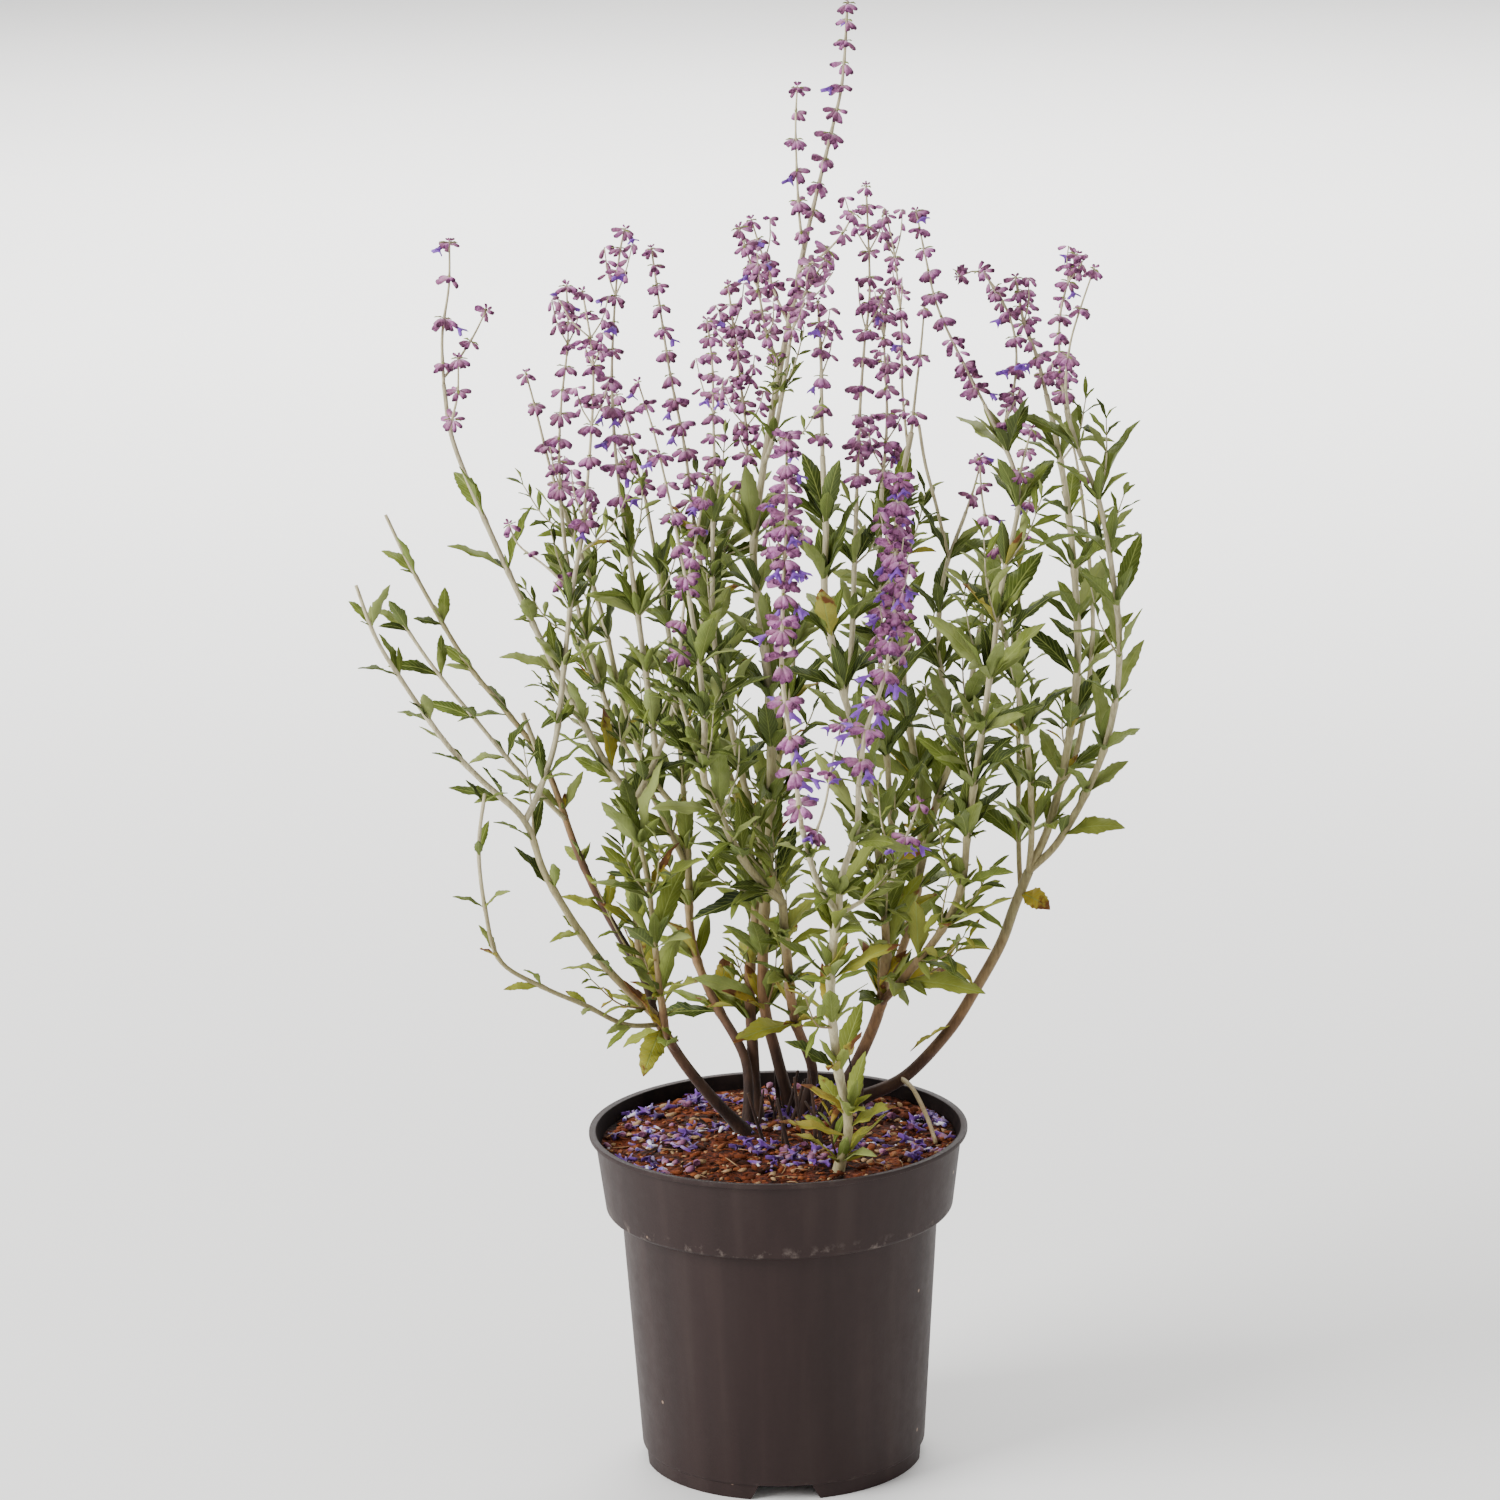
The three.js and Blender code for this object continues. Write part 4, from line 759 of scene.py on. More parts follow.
spike("centre_b", "centre_b", 12, 7, 0.8,
    (-36, 26, 477), (-40, 30, 514), (-46, 32, 548), (-50, 34, 578), (-54, 34, 611))
spike("centre_c", "centre_c", 8, 6.5, 0.7,
    (-25, -24, 508), (-25, -26, 535), (-25, -28, 562), (-27, -28, 584))
spike("near_right_a", "near_right_a", 6, 6.5, 1,
    (27, -32, 518), (27, -30, 545), (27, -27, 568), (26, -24, 592))
spike("near_right_b", "near_right_b", 12, 7, 0.8,
    (44, 6, 492), (46, 12, 528), (49, 16, 564), (52, 20, 590), (51, 22, 641))
spike("near_right_c", "near_right_c", 8, 7, 0.8,
    (58, 68, 483), (61, 68, 518), (60, 64, 554), (59, 62, 582))
spike("near_right_d", "near_right_d", 3, 6, 0.8,
    (74, 94, 507), (76, 92, 525), (79, 89, 550), (81, 86, 572))
spike("near_right_e", "near_right_d", 5, 6.5, 0.7,
    (72, 95, 500), (70, 104, 527), (70, 110, 562), (67, 110, 595), (63, 110, 616))
spike("near_right_f", "near_right_f", 9, 7, 0.7,
    (105, -30, 541), (92, -22, 567), (83, -16, 588), (78, -10, 611), (74, -6, 632))
spike("near_right_g", "near_right_f", 8, 6.5, 0.7,
    (112, -35, 526), (119, -24, 545), (121, -16, 567), (116, -10, 586), (105, -4, 601),
    (94, -2, 599))
spike("near_right_h", "near_right_f", 3, 6, 0.7, (120, -42, 504), (122, -51, 517), (126, -58, 534))
spike("near_right_i", "near_right_f", 4, 6, 0.7,
    (113, -49, 466), (106, -42, 482), (103, -38, 498), (102, -38, 517))
spike("near_right_k", "near_right_k", 2, 6, 0.7, (101, 88, 467), (105, 90, 478), (109, 92, 492))
spike("far_right_b", "far_right_b", 3, 6, 0.7, (128, 90, 446), (132, 90, 467), (137, 90, 485))
spike("far_right_c", "far_right_c", 7, 6.5, 1,
    (137, 8, 539), (132, 6, 559), (126, 4, 575), (122, 2, 598))
spike("far_right_d", "far_right_d", 9, 6.5, 0.7,
    (144, -30, 538), (141, -30, 562), (142, -28, 586), (150, -24, 612))
spike("far_right_side", "far_right_d", 4, 6, 0.7,
    (146, -29, 533), (143, -44, 552), (145, -49, 573), (150, -52, 591), (156, -54, 609))
spike("far_right_e", "far_right_e", 3, 6, 0.7,
    (157, 56, 483), (154, 54, 501), (150, 52, 516), (148, 52, 532))
spike("front_a", "front_a", 12, 10, 1.1,
    (13, -130, 359), (9, -142, 399), (5, -148, 436), (6, -150, 472), (8, -150, 509), (9, -150, 548))
spike("front_b", "front_b", 11, 10, 1.1,
    (40, -122, 377), (44, -124, 404), (53, -126, 431), (58, -126, 466), (59, -126, 499),
    (61, -124, 523))
spike("front_c", "front_c", 2, 8, 0.7, (59, -84, 333), (64, -82, 343), (70, -80, 358))
spike("front_mid", "front_a", 3, 8, 0.7,
    (16, -124, 345), (24, -118, 366), (28, -112, 385), (33, -108, 404))
print(len(spikes), "spikes")

# %% [markdown]
# The largest leaves can be made out one by one in the photograph, so each has an entry of its
# own: its stem, the share of the stem where it grows, its tip, its width, its droop and its roll in
# degrees, and how far it has yellowed.

# %% The largest leaves
large_leaves = [
    ("left", 0.93, (-66, -45, 213), 15, 20, 30, 0.42),
    ("left", 0.9, (-77, 2, 214), 9, 30, 35, 0.3),
    ("left_grey", 0.4, (-44, -30, 284), 12, 20, -30, 0.15),
    ("left_tan", 0.33, (-97, -8, 366), 9, 10, 35, 0.12),
    ("near_right_f", 0.08, (104, -14, 243), 14, 15, -38, 0.3),
    ("far_right", 0.93, (139, 32, 273), 13, 25, -50, 0.62),
    ("far_right", 0.5, (68, 42, 197), 11, 20, -25, 0.5),
    ("near_right_a", 0.9, (20, -43, 503), 8, 5, 30, 0.02),
    ("near_right_a", 0.93, (35, -26, 506), 8, 5, -30, 0.02),
    ("front", 0.27, (57, -76, 205), 12, 10, -35, 0.4),
    ("front", 0.24, (0, -78, 199), 9, 10, 30, 0.55),
    ("front", 0.3, (20, -48, 213), 10, 5, 20, 0.3),
    ("front", 0.47, (42, -64, 255), 12, 5, -25, 0.2),
    ("front_b", 0.6, (66, -110, 341), 8, 15, -30, 0.1),
    ("front_b", 0.75, (20, -98, 388), 9, 5, 25, 0.1),
]
print(len(large_leaves), "large leaves")

# %% [markdown]
# ## Lines through the points
#
# A stem bends smoothly, so a smooth line is laid through its points. The line is cut into short
# spans to measure its length, and any share of the length can then be asked for. Each place comes
# with its direction and with two directions across it, which carry the rings of a tube.
#
# What is left to chance comes from a number that is made from a seed, so the plant grows the same
# way each time. The odd numbers that a seed or a key is multiplied or raised by further down mean
# nothing: each only picks a chance number of its own.

# %% Lines through the points
NOISE_STRETCH = 12.9898
NOISE_SPREAD = 43758.5453
BACKWARD = np.array((0.0, 1.0, 0.0))
UPWARD = np.array((0.0, 0.0, 1.0))
LENGTH_SAMPLES = 200
SAMPLES_PER_SPAN = 20
PLACE_STEP = 6


def noise_of(seed):
    """A number between 0 and 1 that is always the same for the same seed."""
    return (sin(seed * NOISE_STRETCH) * NOISE_SPREAD) % 1


def unit(vectors):
    """The same directions with a length of one."""
    return vectors / np.linalg.norm(vectors, axis=-1, keepdims=True)


def mix(first, second, share):
    """A value between two others."""
    return first + (second - first) * share


def on_spans(line, shares):
    """Points and directions at shares of the spans of a smooth line."""
    spans = len(line) - 3
    reach = np.clip(shares, 0, 1) * spans
    at = np.minimum(reach.astype(int), spans - 1)
    w = (reach - at)[:, None]
    before, start, end, after = (line[at + k] for k in range(4))
    leave, arrive = (end - before) / 2, (after - start) / 2
    square = 3 * (end - start) - 2 * leave - arrive
    cube = 2 * (start - end) + leave + arrive
    return start + w * (leave + w * (square + w * cube)), leave + w * (2 * square + 3 * w * cube)


def measured(line, samples):
    """The length of the line up to each of the samples."""
    points = on_spans(line, np.linspace(0, 1, samples + 1))[0]
    return np.concatenate([[0], np.cumsum(np.linalg.norm(np.diff(points, axis=0), axis=1))])


def trace_route(points):
    """A smooth line through the points, with its length, its knots and evenly spaced places."""
    points = np.array(points, float)
    line = np.vstack([2 * points[0] - points[1], points, 2 * points[-1] - points[-2]])
    spans = len(points) - 1
    lengths = measured(line, spans * SAMPLES_PER_SPAN)
    route = {
        "line": line,
        "length": lengths[-1],
        "knots": lengths[::SAMPLES_PER_SPAN] / lengths[-1],
        "table": measured(line, LENGTH_SAMPLES),
    }
    count = max(3, round(route["length"] / PLACE_STEP))
    route["places"] = places_on(route, np.linspace(0, 1, count + 1))[0]
    return route


def places_on(route, shares):
    """Points at shares of the length, with the directions along, across and behind the stem."""
    table = route["table"]
    spans = np.interp(np.asarray(shares) * table[-1], table, np.linspace(0, 1, len(table)))
    point, along = on_spans(route["line"], spans)
    along = unit(along)
    across = unit(np.cross(BACKWARD, along))
    return point, along, across, np.cross(across, along)


def place_on(route, share):
    """One place on a route."""
    return tuple(part[0] for part in places_on(route, [share]))


stem_of = {entry["name"]: entry for entry in stems}


def cane_of(name):
    """The cane that a stem belongs to: the stem that its parents lead back to."""
    parent = stem_of[name]["parent"]
    return name if parent == "soil" else cane_of(parent)


for entry in stems + spikes:
    entry["route"] = trace_route(entry["points"])
print("stems:", round(sum(entry["route"]["length"] for entry in stems)), "mm in all")

# %% [markdown]
# ## Keeping clear
#
# On a real plant the leaves find their own room. Here each new leaf or whorl is tested against
# balls that are strung along everything that stands already. A ball knows its owner, because a
# leaf may touch its own cane at its root, but nothing else. Nothing may stand out of the plain
# model's box by more than a few millimetres either.

# %% Keeping clear
STEM_MARGIN = 0.8
RIM_MARGIN = 8
SOIL_ROUGHNESS = 0.7
BOX_MARGIN = 6

box_low, box_high = np.array(plain_box) / MM + np.array(((-BOX_MARGIN,), (BOX_MARGIN,)))


class Crowd:
    """Balls along everything that stands already, each with its owner."""

    def __init__(self):
        self.names = {}
        self.points = np.zeros((0, 3))
        self.radii = np.zeros(0)
        self.owners = np.zeros(0, int)

    def number(self, owner):
        """The number that stands for an owner."""
        return self.names.setdefault(owner, len(self.names))

    def add(self, owner, points, radii):
        """Adds balls that belong to one owner."""
        points = np.atleast_2d(points)
        self.points = np.vstack([self.points, points])
        self.radii = np.append(self.radii, np.broadcast_to(radii, len(points)))
        self.owners = np.append(self.owners, np.full(len(points), self.number(owner)))

    def room(self, points, counts):
        """Distance from each point to the nearest ball that counts."""
        gaps = np.linalg.norm(points[:, None] - self.points[counts], axis=2) - self.radii[counts]
        return gaps.min(axis=1) if gaps.size else np.full(len(points), np.inf)


def room_over_pot(points):
    """Room above the soil and the rim; nothing may dip into them."""
    from_axis = np.hypot(points[:, 0], points[:, 1])
    soil_floor = SOIL_HEIGHT + SOIL_DOME + SOIL_ROUGHNESS
    floor_height = np.where(from_axis < LIP_RADIUS - RIM_MARGIN, soil_floor, POT_HEIGHT)
    return np.where(from_axis > RIM_RADIUS + RIM_MARGIN, np.inf, points[:, 2] - floor_height)


def outside(points, margin=0):
    """Tells whether a point stands out of the plain model's box, drawn in by a margin."""
    return bool((points < box_low + margin).any() or (points > box_high - margin).any())


crowd = Crowd()
for entry in stems:
    entry["cane"] = cane_of(entry["name"])
    places = entry["route"]["places"]
    radii = np.linspace(*entry["radii"], len(places))
    crowd.add(entry["cane"], places, radii + STEM_MARGIN)
    entry["blades"] = []
print(len(crowd.radii), "balls along the stems")

# %% [markdown]
# ## Where the whorls stand
#
# A spike leaves its parent stem on a short stalk and goes on as a piece of its own. Its flowers
# stand in whorls: rings of small drooping calyces round the axis, closer and smaller towards the
# tip. The plain model has four whorls for every five of the plant. The leaves are found against
# those first, so that they get the same places as in the plain model, and the spikes then get
# their full number of whorls.

# %% Where the whorls stand
WHORL_SHARE = 0.81
WHORL_SMALLEST = 3.4
WHORL_TIP_SIZE = 0.62
WHORL_CROWDING = 1.15
FIRST_WHORL_ROOM = 0.75
STALK_CLEARANCE = 2


def start_spike(entry):
    """Finds where a spike's stalk is clear of its parent stem, and strings balls along it."""
    parent, route = stem_of[entry["parent"]], entry["route"]
    entry["cane"] = parent["cane"]
    entry["owner"] = "spike_" + entry["name"]
    clear = parent["radii"][1] + entry["radius"] + STALK_CLEARANCE
    steps = np.arange(int(route["length"])) / route["length"]
    points = places_on(route, steps)[0]
    gaps = np.linalg.norm(points[:, None] - parent["route"]["places"], axis=2).min(axis=1)
    entry["stalk_end"] = steps[np.argmax(gaps >= clear)]
    entry["start"] = entry["stalk_end"] + FIT_GAP / route["length"]
    places = route["places"]
    low = np.linspace(0, 1, len(places)) < entry["stalk_end"]
    crowd.add(entry["cane"], places[low], entry["radius"] + STEM_MARGIN)
    crowd.add(entry["owner"], places[~low], entry["radius"] + STEM_MARGIN)


def place_whorls(entry, count):
    """Places whorls on a spike; one without room is made smaller or left out."""
    route, reach = entry["route"], entry["reach"]
    first = entry["start"] + FIRST_WHORL_ROOM * reach / route["length"]
    last = 1 - entry["radius"] / route["length"]
    placed = []
    for i in range(count):
        order = i / (count - 1)
        share = mix(first, last, 1 - (1 - order) ** WHORL_CROWDING)
        point = place_on(route, share)[0]
        others = crowd.owners != crowd.number(entry["owner"])
        room = crowd.room(point[None], others)[0] - FIT_GAP
        size = min(reach * mix(1, WHORL_TIP_SIZE, order**2), room)
        if size >= WHORL_SMALLEST:
            placed.append({"share": share, "size": size, "order": order})
            crowd.add(entry["owner"], point, size)
    return placed


for entry in spikes:
    start_spike(entry)
for entry in spikes:
    place_whorls(entry, max(2, int(entry["whorls"] * WHORL_SHARE + 0.5)))
print(len(crowd.radii), "balls with the plain whorls")

# %% [markdown]
# ## Where the leaves grow
#
# The leaves of a sage stand in opposite pairs, and each pair is turned a quarter from the one
# below. A leaf rises from the stem and then bends over with its own weight. If it would touch
# something it is swung round a little or made smaller. The plain model has only one pair in five.
# Those are found first and in the same order, then the pairs between and below them are added.

# %% Where the leaves grow
NODE_SPACING = 28
NODES_PER_PAIR = 5
LEAF_WIDTH_SHARE = 0.36
SLIM_WIDTH_SHARE = 0.27
SLIM_REACH = 1.25
SLIM_RISE = (42, 76)
BARE_BELOW = 212
LEAF_SIZES = (0.85, 1.15)
LEAF_RISE = (32, 64)
LEAF_DROOP = (6, 44)
LEAF_ROLL = (-28, 28)
LEAF_TURN_TO_FRONT = 30
LEAF_JITTER = 30
LEAF_SWINGS = (0, 25, -25, 50, -50)
LEAF_SCALES = (1, 0.8, 0.64)
ROOM_IN_CANE = (0.9, 0.3)
ROOT_ZONE = 9
LEAF_PROBES = np.array((0.25, 0.45, 0.62, 0.8, 0.97))
PROBE_ROOT_SLOPE = 2.2
PROBE_TIP_SLOPE = 2.4
PROBE_TIP_WIDTH = 0.1
PROBE_SHARE = 0.9
KEYS_PER_STEM = 97
KEYS_PER_NODE = 7
HEADING_KEY = 0.5
RISE_KEY = 0.2
DROOP_KEY = 0.7
ROLL_KEY = 0.9


def leaf_frame(leaf):
    """Directions sideways, along and upwards of a leaf at its root."""
    sideways = unit(np.cross(leaf["direction"], UPWARD))
    return sideways, leaf["direction"], unit(np.cross(sideways, leaf["direction"]))


def probes_of(leaf):
    """Points along the middle of a leaf with half its width there."""
    _, direction, upward = leaf_frame(leaf)
    turn = (leaf["droop"] * LEAF_PROBES)[:, None]
    radius = leaf["length"] / leaf["droop"]
    points = leaf["root"] + radius * (direction * np.sin(turn) - upward * (1 - np.cos(turn)))
    near_tip = PROBE_TIP_SLOPE * (1 - LEAF_PROBES) + PROBE_TIP_WIDTH
    slopes = np.minimum(near_tip, LEAF_PROBES * PROBE_ROOT_SLOPE)
    return points, leaf["width"] / 2 * np.minimum(1, slopes)


def leaf_is_clear(leaf, cane, own_room, other_room=1):
    """Tests a leaf against the pot, the soil and everything that stands already."""
    points, half = probes_of(leaf)
    if (room_over_pot(points) <= half + FIT_GAP).any() or outside(points):
        return False
    own = crowd.owners == crowd.number(cane)
    if (crowd.room(points, ~own) <= half * other_room + FIT_GAP).any():
        return False
    far = np.linalg.norm(crowd.points - leaf["root"], axis=1) > ROOT_ZONE
    return bool((crowd.room(points, own & far) > half * own_room).all())


def accept_leaf(entry, leaf):
    """Lets a leaf grow and keeps its place."""
    entry["blades"].append(leaf)
    points, half = probes_of(leaf)
    crowd.add(entry["cane"], points, half * PROBE_SHARE)


def leaf_roll(direction, key):
    """A leaf that grows to one side turns its face to the front, where it catches the light."""
    roll = mix(*LEAF_ROLL, noise_of(key + ROLL_KEY))
    return radians(roll - LEAF_TURN_TO_FRONT * direction[0])


def rising(place, heading, rise):
    """The direction that leaves a stem at a heading round it and leans up along it."""
    _, along, across, behind = place
    outward = across * cos(heading) + behind * sin(heading)
    return unit(outward * cos(rise) + along * sin(rise))


def find_leaf(entry, place, heading, size, key, slim):
    """A leaf near the wanted heading and size that is clear of everything, or None."""
    rise = radians(mix(*(SLIM_RISE if slim else LEAF_RISE), noise_of(key + RISE_KEY)))
    width_share = SLIM_WIDTH_SHARE if slim else LEAF_WIDTH_SHARE
    droop = radians(mix(*LEAF_DROOP, noise_of(key + DROOP_KEY)))
    for own_room in ROOM_IN_CANE:
        for scale in LEAF_SCALES:
            for swing in LEAF_SWINGS:
                direction = rising(place, radians(heading + swing), rise)
                leaf = dict(root=place[0], direction=direction, length=size * scale,
                            width=size * scale * width_share, droop=droop,
                            roll=leaf_roll(direction, key), key=key)
                if leaf_is_clear(leaf, entry["cane"], own_room):
                    return leaf
    return None


def node_share(entry, node):
    """The share of a stem's length at which one of its nodes sits."""
    return min(entry["leaves"][0] + node * NODE_SPACING / entry["route"]["length"], 1)


def grow_pair(entry, seed, node, slim=False):
    """Grows the two leaves of one node of a stem, of the usual kind or slim and upright."""
    place = place_on(entry["route"], node_share(entry, node))
    length = entry["leaves"][2] * (SLIM_REACH if slim else 1)
    for half in (0, 1):
        key = seed * KEYS_PER_STEM + node * KEYS_PER_NODE + half
        size = length * mix(*LEAF_SIZES, noise_of(key))
        jitter = LEAF_JITTER * noise_of(key + HEADING_KEY)
        heading = node * 90 + half * 180 + 360 * noise_of(seed) + jitter
        leaf = find_leaf(entry, place, heading, size, key, slim)
        if leaf:
            accept_leaf(entry, leaf)


for number, (name, share, tip, width, droop, roll, age) in enumerate(large_leaves):
    entry = stem_of[name]
    root = place_on(entry["route"], share)[0]
    span = np.array(tip) - root
    sideways = unit(np.cross(span, UPWARD))
    upward = unit(np.cross(sideways, span))
    half_droop = radians(droop) / 2
    direction = unit(unit(span) * cos(half_droop) + upward * sin(half_droop))
    leaf = dict(root=root, direction=direction, length=float(np.linalg.norm(span)), width=width,
                droop=radians(droop), roll=radians(roll), key=-1 - number, age=age)
    accept_leaf(entry, leaf)

leafy = [(seed + 1, entry) for seed, entry in enumerate(stems) if entry["leaves"]]
for seed, entry in leafy:
    start, end, _ = entry["leaves"]
    entry["nodes"] = int((end - start) * entry["route"]["length"] / NODE_SPACING)
    for node in range(1, entry["nodes"] + 1, NODES_PER_PAIR):
        grow_pair(entry, seed, node)
print("leaves of the plain model:", sum(len(entry["blades"]) for entry in stems))

for entry in spikes:
    entry["placed"] = place_whorls(entry, entry["whorls"])
for seed, entry in leafy:
    start, _, _ = entry["leaves"]
    lowest = -int(start * entry["route"]["length"] / NODE_SPACING)
    entry["leafy_nodes"] = []
    for node in range(lowest, entry["nodes"] + 1):
        height = place_on(entry["route"], node_share(entry, node))[0][2]
        if entry["cane"] == "front" or height > BARE_BELOW:
            entry["leafy_nodes"].append(node)
    for node in entry["leafy_nodes"]:
        if node < 1 or node % NODES_PER_PAIR != 1:
            grow_pair(entry, seed, node, slim=True)
print("leaves with the pairs between:", sum(len(entry["blades"]) for entry in stems))
print("whorls:", sum(len(entry["placed"]) for entry in spikes))

# %% [markdown]
# ## Small leaves in the angles
#
# In the angle between each large leaf and its stem sits a tuft of small narrow leaves, and from
# many nodes rises a thin side shoot with a few pairs. They make the sage look full. They are
# tested less strictly than the large leaves, because in life they crowd together too. The outer
# stems are nearly bare of them; a table says how bushy each of those is, and every other stem
# counts as one.

# %% Small leaves in the angles
TUFT_HEADINGS = (-40, 8, 56, 104, 140, 188, 236, 284)
TUFT_SIZES = (0.4, 1.05)
TUFT_WIDTH_SHARE = 0.24
TUFT_RISE = (44, 82)
TUFT_DROOP = (3, 50)
TUFT_ROOM = 0.2
TUFT_JITTER = 25
TUFT_LEEWAY = 0.1
SPARSE_SIZE = 0.75
SHOOT_EVERY = 0.9
SHOOT_JITTER = 40
SHOOT_LENGTHS = (20, 52)
SHOOT_RISE = (40, 66)
SHOOT_BEND = (0.6, 0.4)
SHOOT_RADIUS = 0.5
SHOOT_MARGIN = 0.4
SHOOT_PROBES = np.linspace(0.3, 1, 5)
ROOM_OVER_POT = 3
ROOM_TO_OTHERS = 1.2
ROOM_TO_OWN = 0.8
SHOOT_PAIRS = 4
FIRST_PAIR = 0.4
PAIRS_REACH = 0.6
SHOOT_LEAF_SIZES = (0.42, 0.68)
SHOOT_LEAF_RISE = (38, 8)
SHOOT_SHRINK = 0.1
BUSHY = {"left_low": 0.15, "left_thin": 0.1, "left_brown": 0.2, "left_droop": 0.0,
         "left_tan": 0.45, "left_pale": 0.5, "far_right_a": 0.6, "far_right_b": 0.5,
         "far_right_c": 0.5, "far_right_d": 0.35, "far_right_e": 0.4}
TUFT_KEY = 0.31
SHOOT_KEY = 0.83


def grow_small_leaf(entry, place, heading, rise, length, key):
    """Lets a small leaf grow, but not where it would touch a neighbour."""
    direction = rising(place, heading, rise)
    droop = radians(mix(*TUFT_DROOP, noise_of(key + DROOP_KEY)))
    leaf = dict(root=place[0], direction=direction, length=length,
                width=length * TUFT_WIDTH_SHARE, droop=droop, roll=leaf_roll(direction, key),
                key=key, small=True)
    if leaf_is_clear(leaf, entry["cane"], 0, TUFT_ROOM):
        accept_leaf(entry, leaf)


def grow_tuft(entry, seed, node, bushy):
    """Small leaves round one node."""
    place = place_on(entry["route"], node_share(entry, node))
    for number, turn in enumerate(TUFT_HEADINGS):
        key = seed * KEYS_PER_STEM + node * KEYS_PER_NODE + number + TUFT_KEY
        if noise_of(key + SHOOT_KEY) > bushy + TUFT_LEEWAY:
            continue
        jitter = TUFT_JITTER * noise_of(key)
        heading = radians(node * 90 + turn + 360 * noise_of(seed) + jitter)
        rise = radians(mix(*TUFT_RISE, noise_of(key + RISE_KEY)))
        size = entry["leaves"][2] * mix(*TUFT_SIZES, noise_of(key + HEADING_KEY))
        size *= mix(SPARSE_SIZE, 1, bushy)
        grow_small_leaf(entry, place, heading, rise, size, key)


def grow_shoot(entry, seed, node, half):
    """A thin side shoot with a few pairs of small leaves."""
    key = seed * KEYS_PER_STEM + node * KEYS_PER_NODE + half * 2 + SHOOT_KEY
    place = place_on(entry["route"], node_share(entry, node))
    jitter = SHOOT_JITTER * noise_of(key)
    heading = radians(node * 90 + half * 180 + 360 * noise_of(seed) + jitter)
    leave = rising(place, heading, radians(mix(*SHOOT_RISE, noise_of(key + RISE_KEY))))
    reach = mix(*SHOOT_LENGTHS, noise_of(key + DROOP_KEY))
    point, bend = place[0], unit(leave + place[1] * SHOOT_BEND[0] + UPWARD * SHOOT_BEND[1])
    points = [point, point + leave * reach * 0.5, point + (leave + bend) * reach * 0.5]
    route = trace_route(points)
    probes = places_on(route, SHOOT_PROBES)[0]
    own = crowd.owners == crowd.number(entry["cane"])
    far = np.linalg.norm(crowd.points - point, axis=1) > ROOT_ZONE
    if outside(probes) or (room_over_pot(probes) < ROOM_OVER_POT).any():
        return
    if (crowd.room(probes, ~own) < ROOM_TO_OTHERS).any():
        return
    if (crowd.room(probes[1:], own & far) < ROOM_TO_OWN).any():
        return
    entry["shoots"].append(route)
    crowd.add(entry["cane"], probes, SHOOT_RADIUS + SHOOT_MARGIN)
    for pair in range(SHOOT_PAIRS):
        place = place_on(route, FIRST_PAIR + PAIRS_REACH * pair / (SHOOT_PAIRS - 1))
        rise = radians(SHOOT_LEAF_RISE[0] + SHOOT_LEAF_RISE[1] * pair)
        for side in (0, 1):
            leaf_key = key + pair * 3 + side
            size = entry["leaves"][2] * mix(*SHOOT_LEAF_SIZES, noise_of(leaf_key))
            size *= 1 - SHOOT_SHRINK * pair
            turn = radians(pair * 90 + side * 180 + 360 * noise_of(key))
            grow_small_leaf(entry, place, turn, rise, size, leaf_key)


for seed, entry in leafy:
    entry["shoots"] = []
    bushy = BUSHY.get(entry["name"], 1)
    for node in entry["leafy_nodes"]:
        for half in (0, 1):
            if noise_of(seed * 3.7 + node + half * 0.41) < SHOOT_EVERY * bushy:
                grow_shoot(entry, seed, node, half)
        grow_tuft(entry, seed, node, bushy)
print("side shoots:", sum(len(entry["shoots"]) for _, entry in leafy))
print("leaves in all:", sum(len(entry["blades"]) for entry in stems))

# %% [markdown]
# ## Round templates
#
# Stems, stalks, calyces and petal tubes are all round and long, so one template serves them: a
# straight tube made by pulling a circle of corners along its axis, closed at both ends. A stem
# moves each ring of the tube to a place on its route.


# %% Round templates
def straight_tube(sides, rings):
    """A closed tube of unit radius with its rings one unit apart along +Z."""
    tube = bmesh.new()
    circle = bmesh.ops.create_circle(tube, cap_ends=False, radius=1, segments=sides)["verts"]
    bmesh.ops.spin(tube, geom=circle + tube.edges[:], cent=(0, 0, 0), axis=(0, 0, 1),
                   dvec=(0, 0, 1), angle=0, steps=rings - 1, use_merge=False)
    bmesh.ops.holes_fill(tube, edges=[e for e in tube.edges if e.is_boundary], sides=sides)
    closed_up(tube)
    return tube


RIDGES = 4
tube_templates = {}


def tube_template(sides, rings):
    """The stored template of a tube, made when it is first asked for."""
    if (sides, rings) not in tube_templates:
        name = f"tube_{sides}_{rings}"
        tube_templates[sides, rings] = keep_template(straight_tube(sides, rings), name)
    return tube_templates[sides, rings]


def grow_tube(piece, frames, radii, sides, ridge=0, finish=0, **marks):
    """Stamps a tube whose rings lie on the places of a route."""
    point, along, across, behind = frames
    template = tube_template(sides, len(point))
    corners = corners_of(template)
    ring = np.rint(corners[:, 2]).astype(int)
    around = np.arctan2(corners[:, 1], corners[:, 0])
    radius = radii[ring] * (1 + ridge * np.cos(RIDGES * around))
    moved = point[ring]
    moved = moved + behind[ring] * (corners[:, :1] * radius[:, None])
    moved = moved + across[ring] * (corners[:, 1:2] * radius[:, None])
    marks = {mark: value[ring] if np.ndim(value) else value for mark, value in marks.items()}
    stamp(piece, template, moved, finish, **marks)


print("tube template:", len(straight_tube(8, 5).faces), "faces on a tube of five rings")

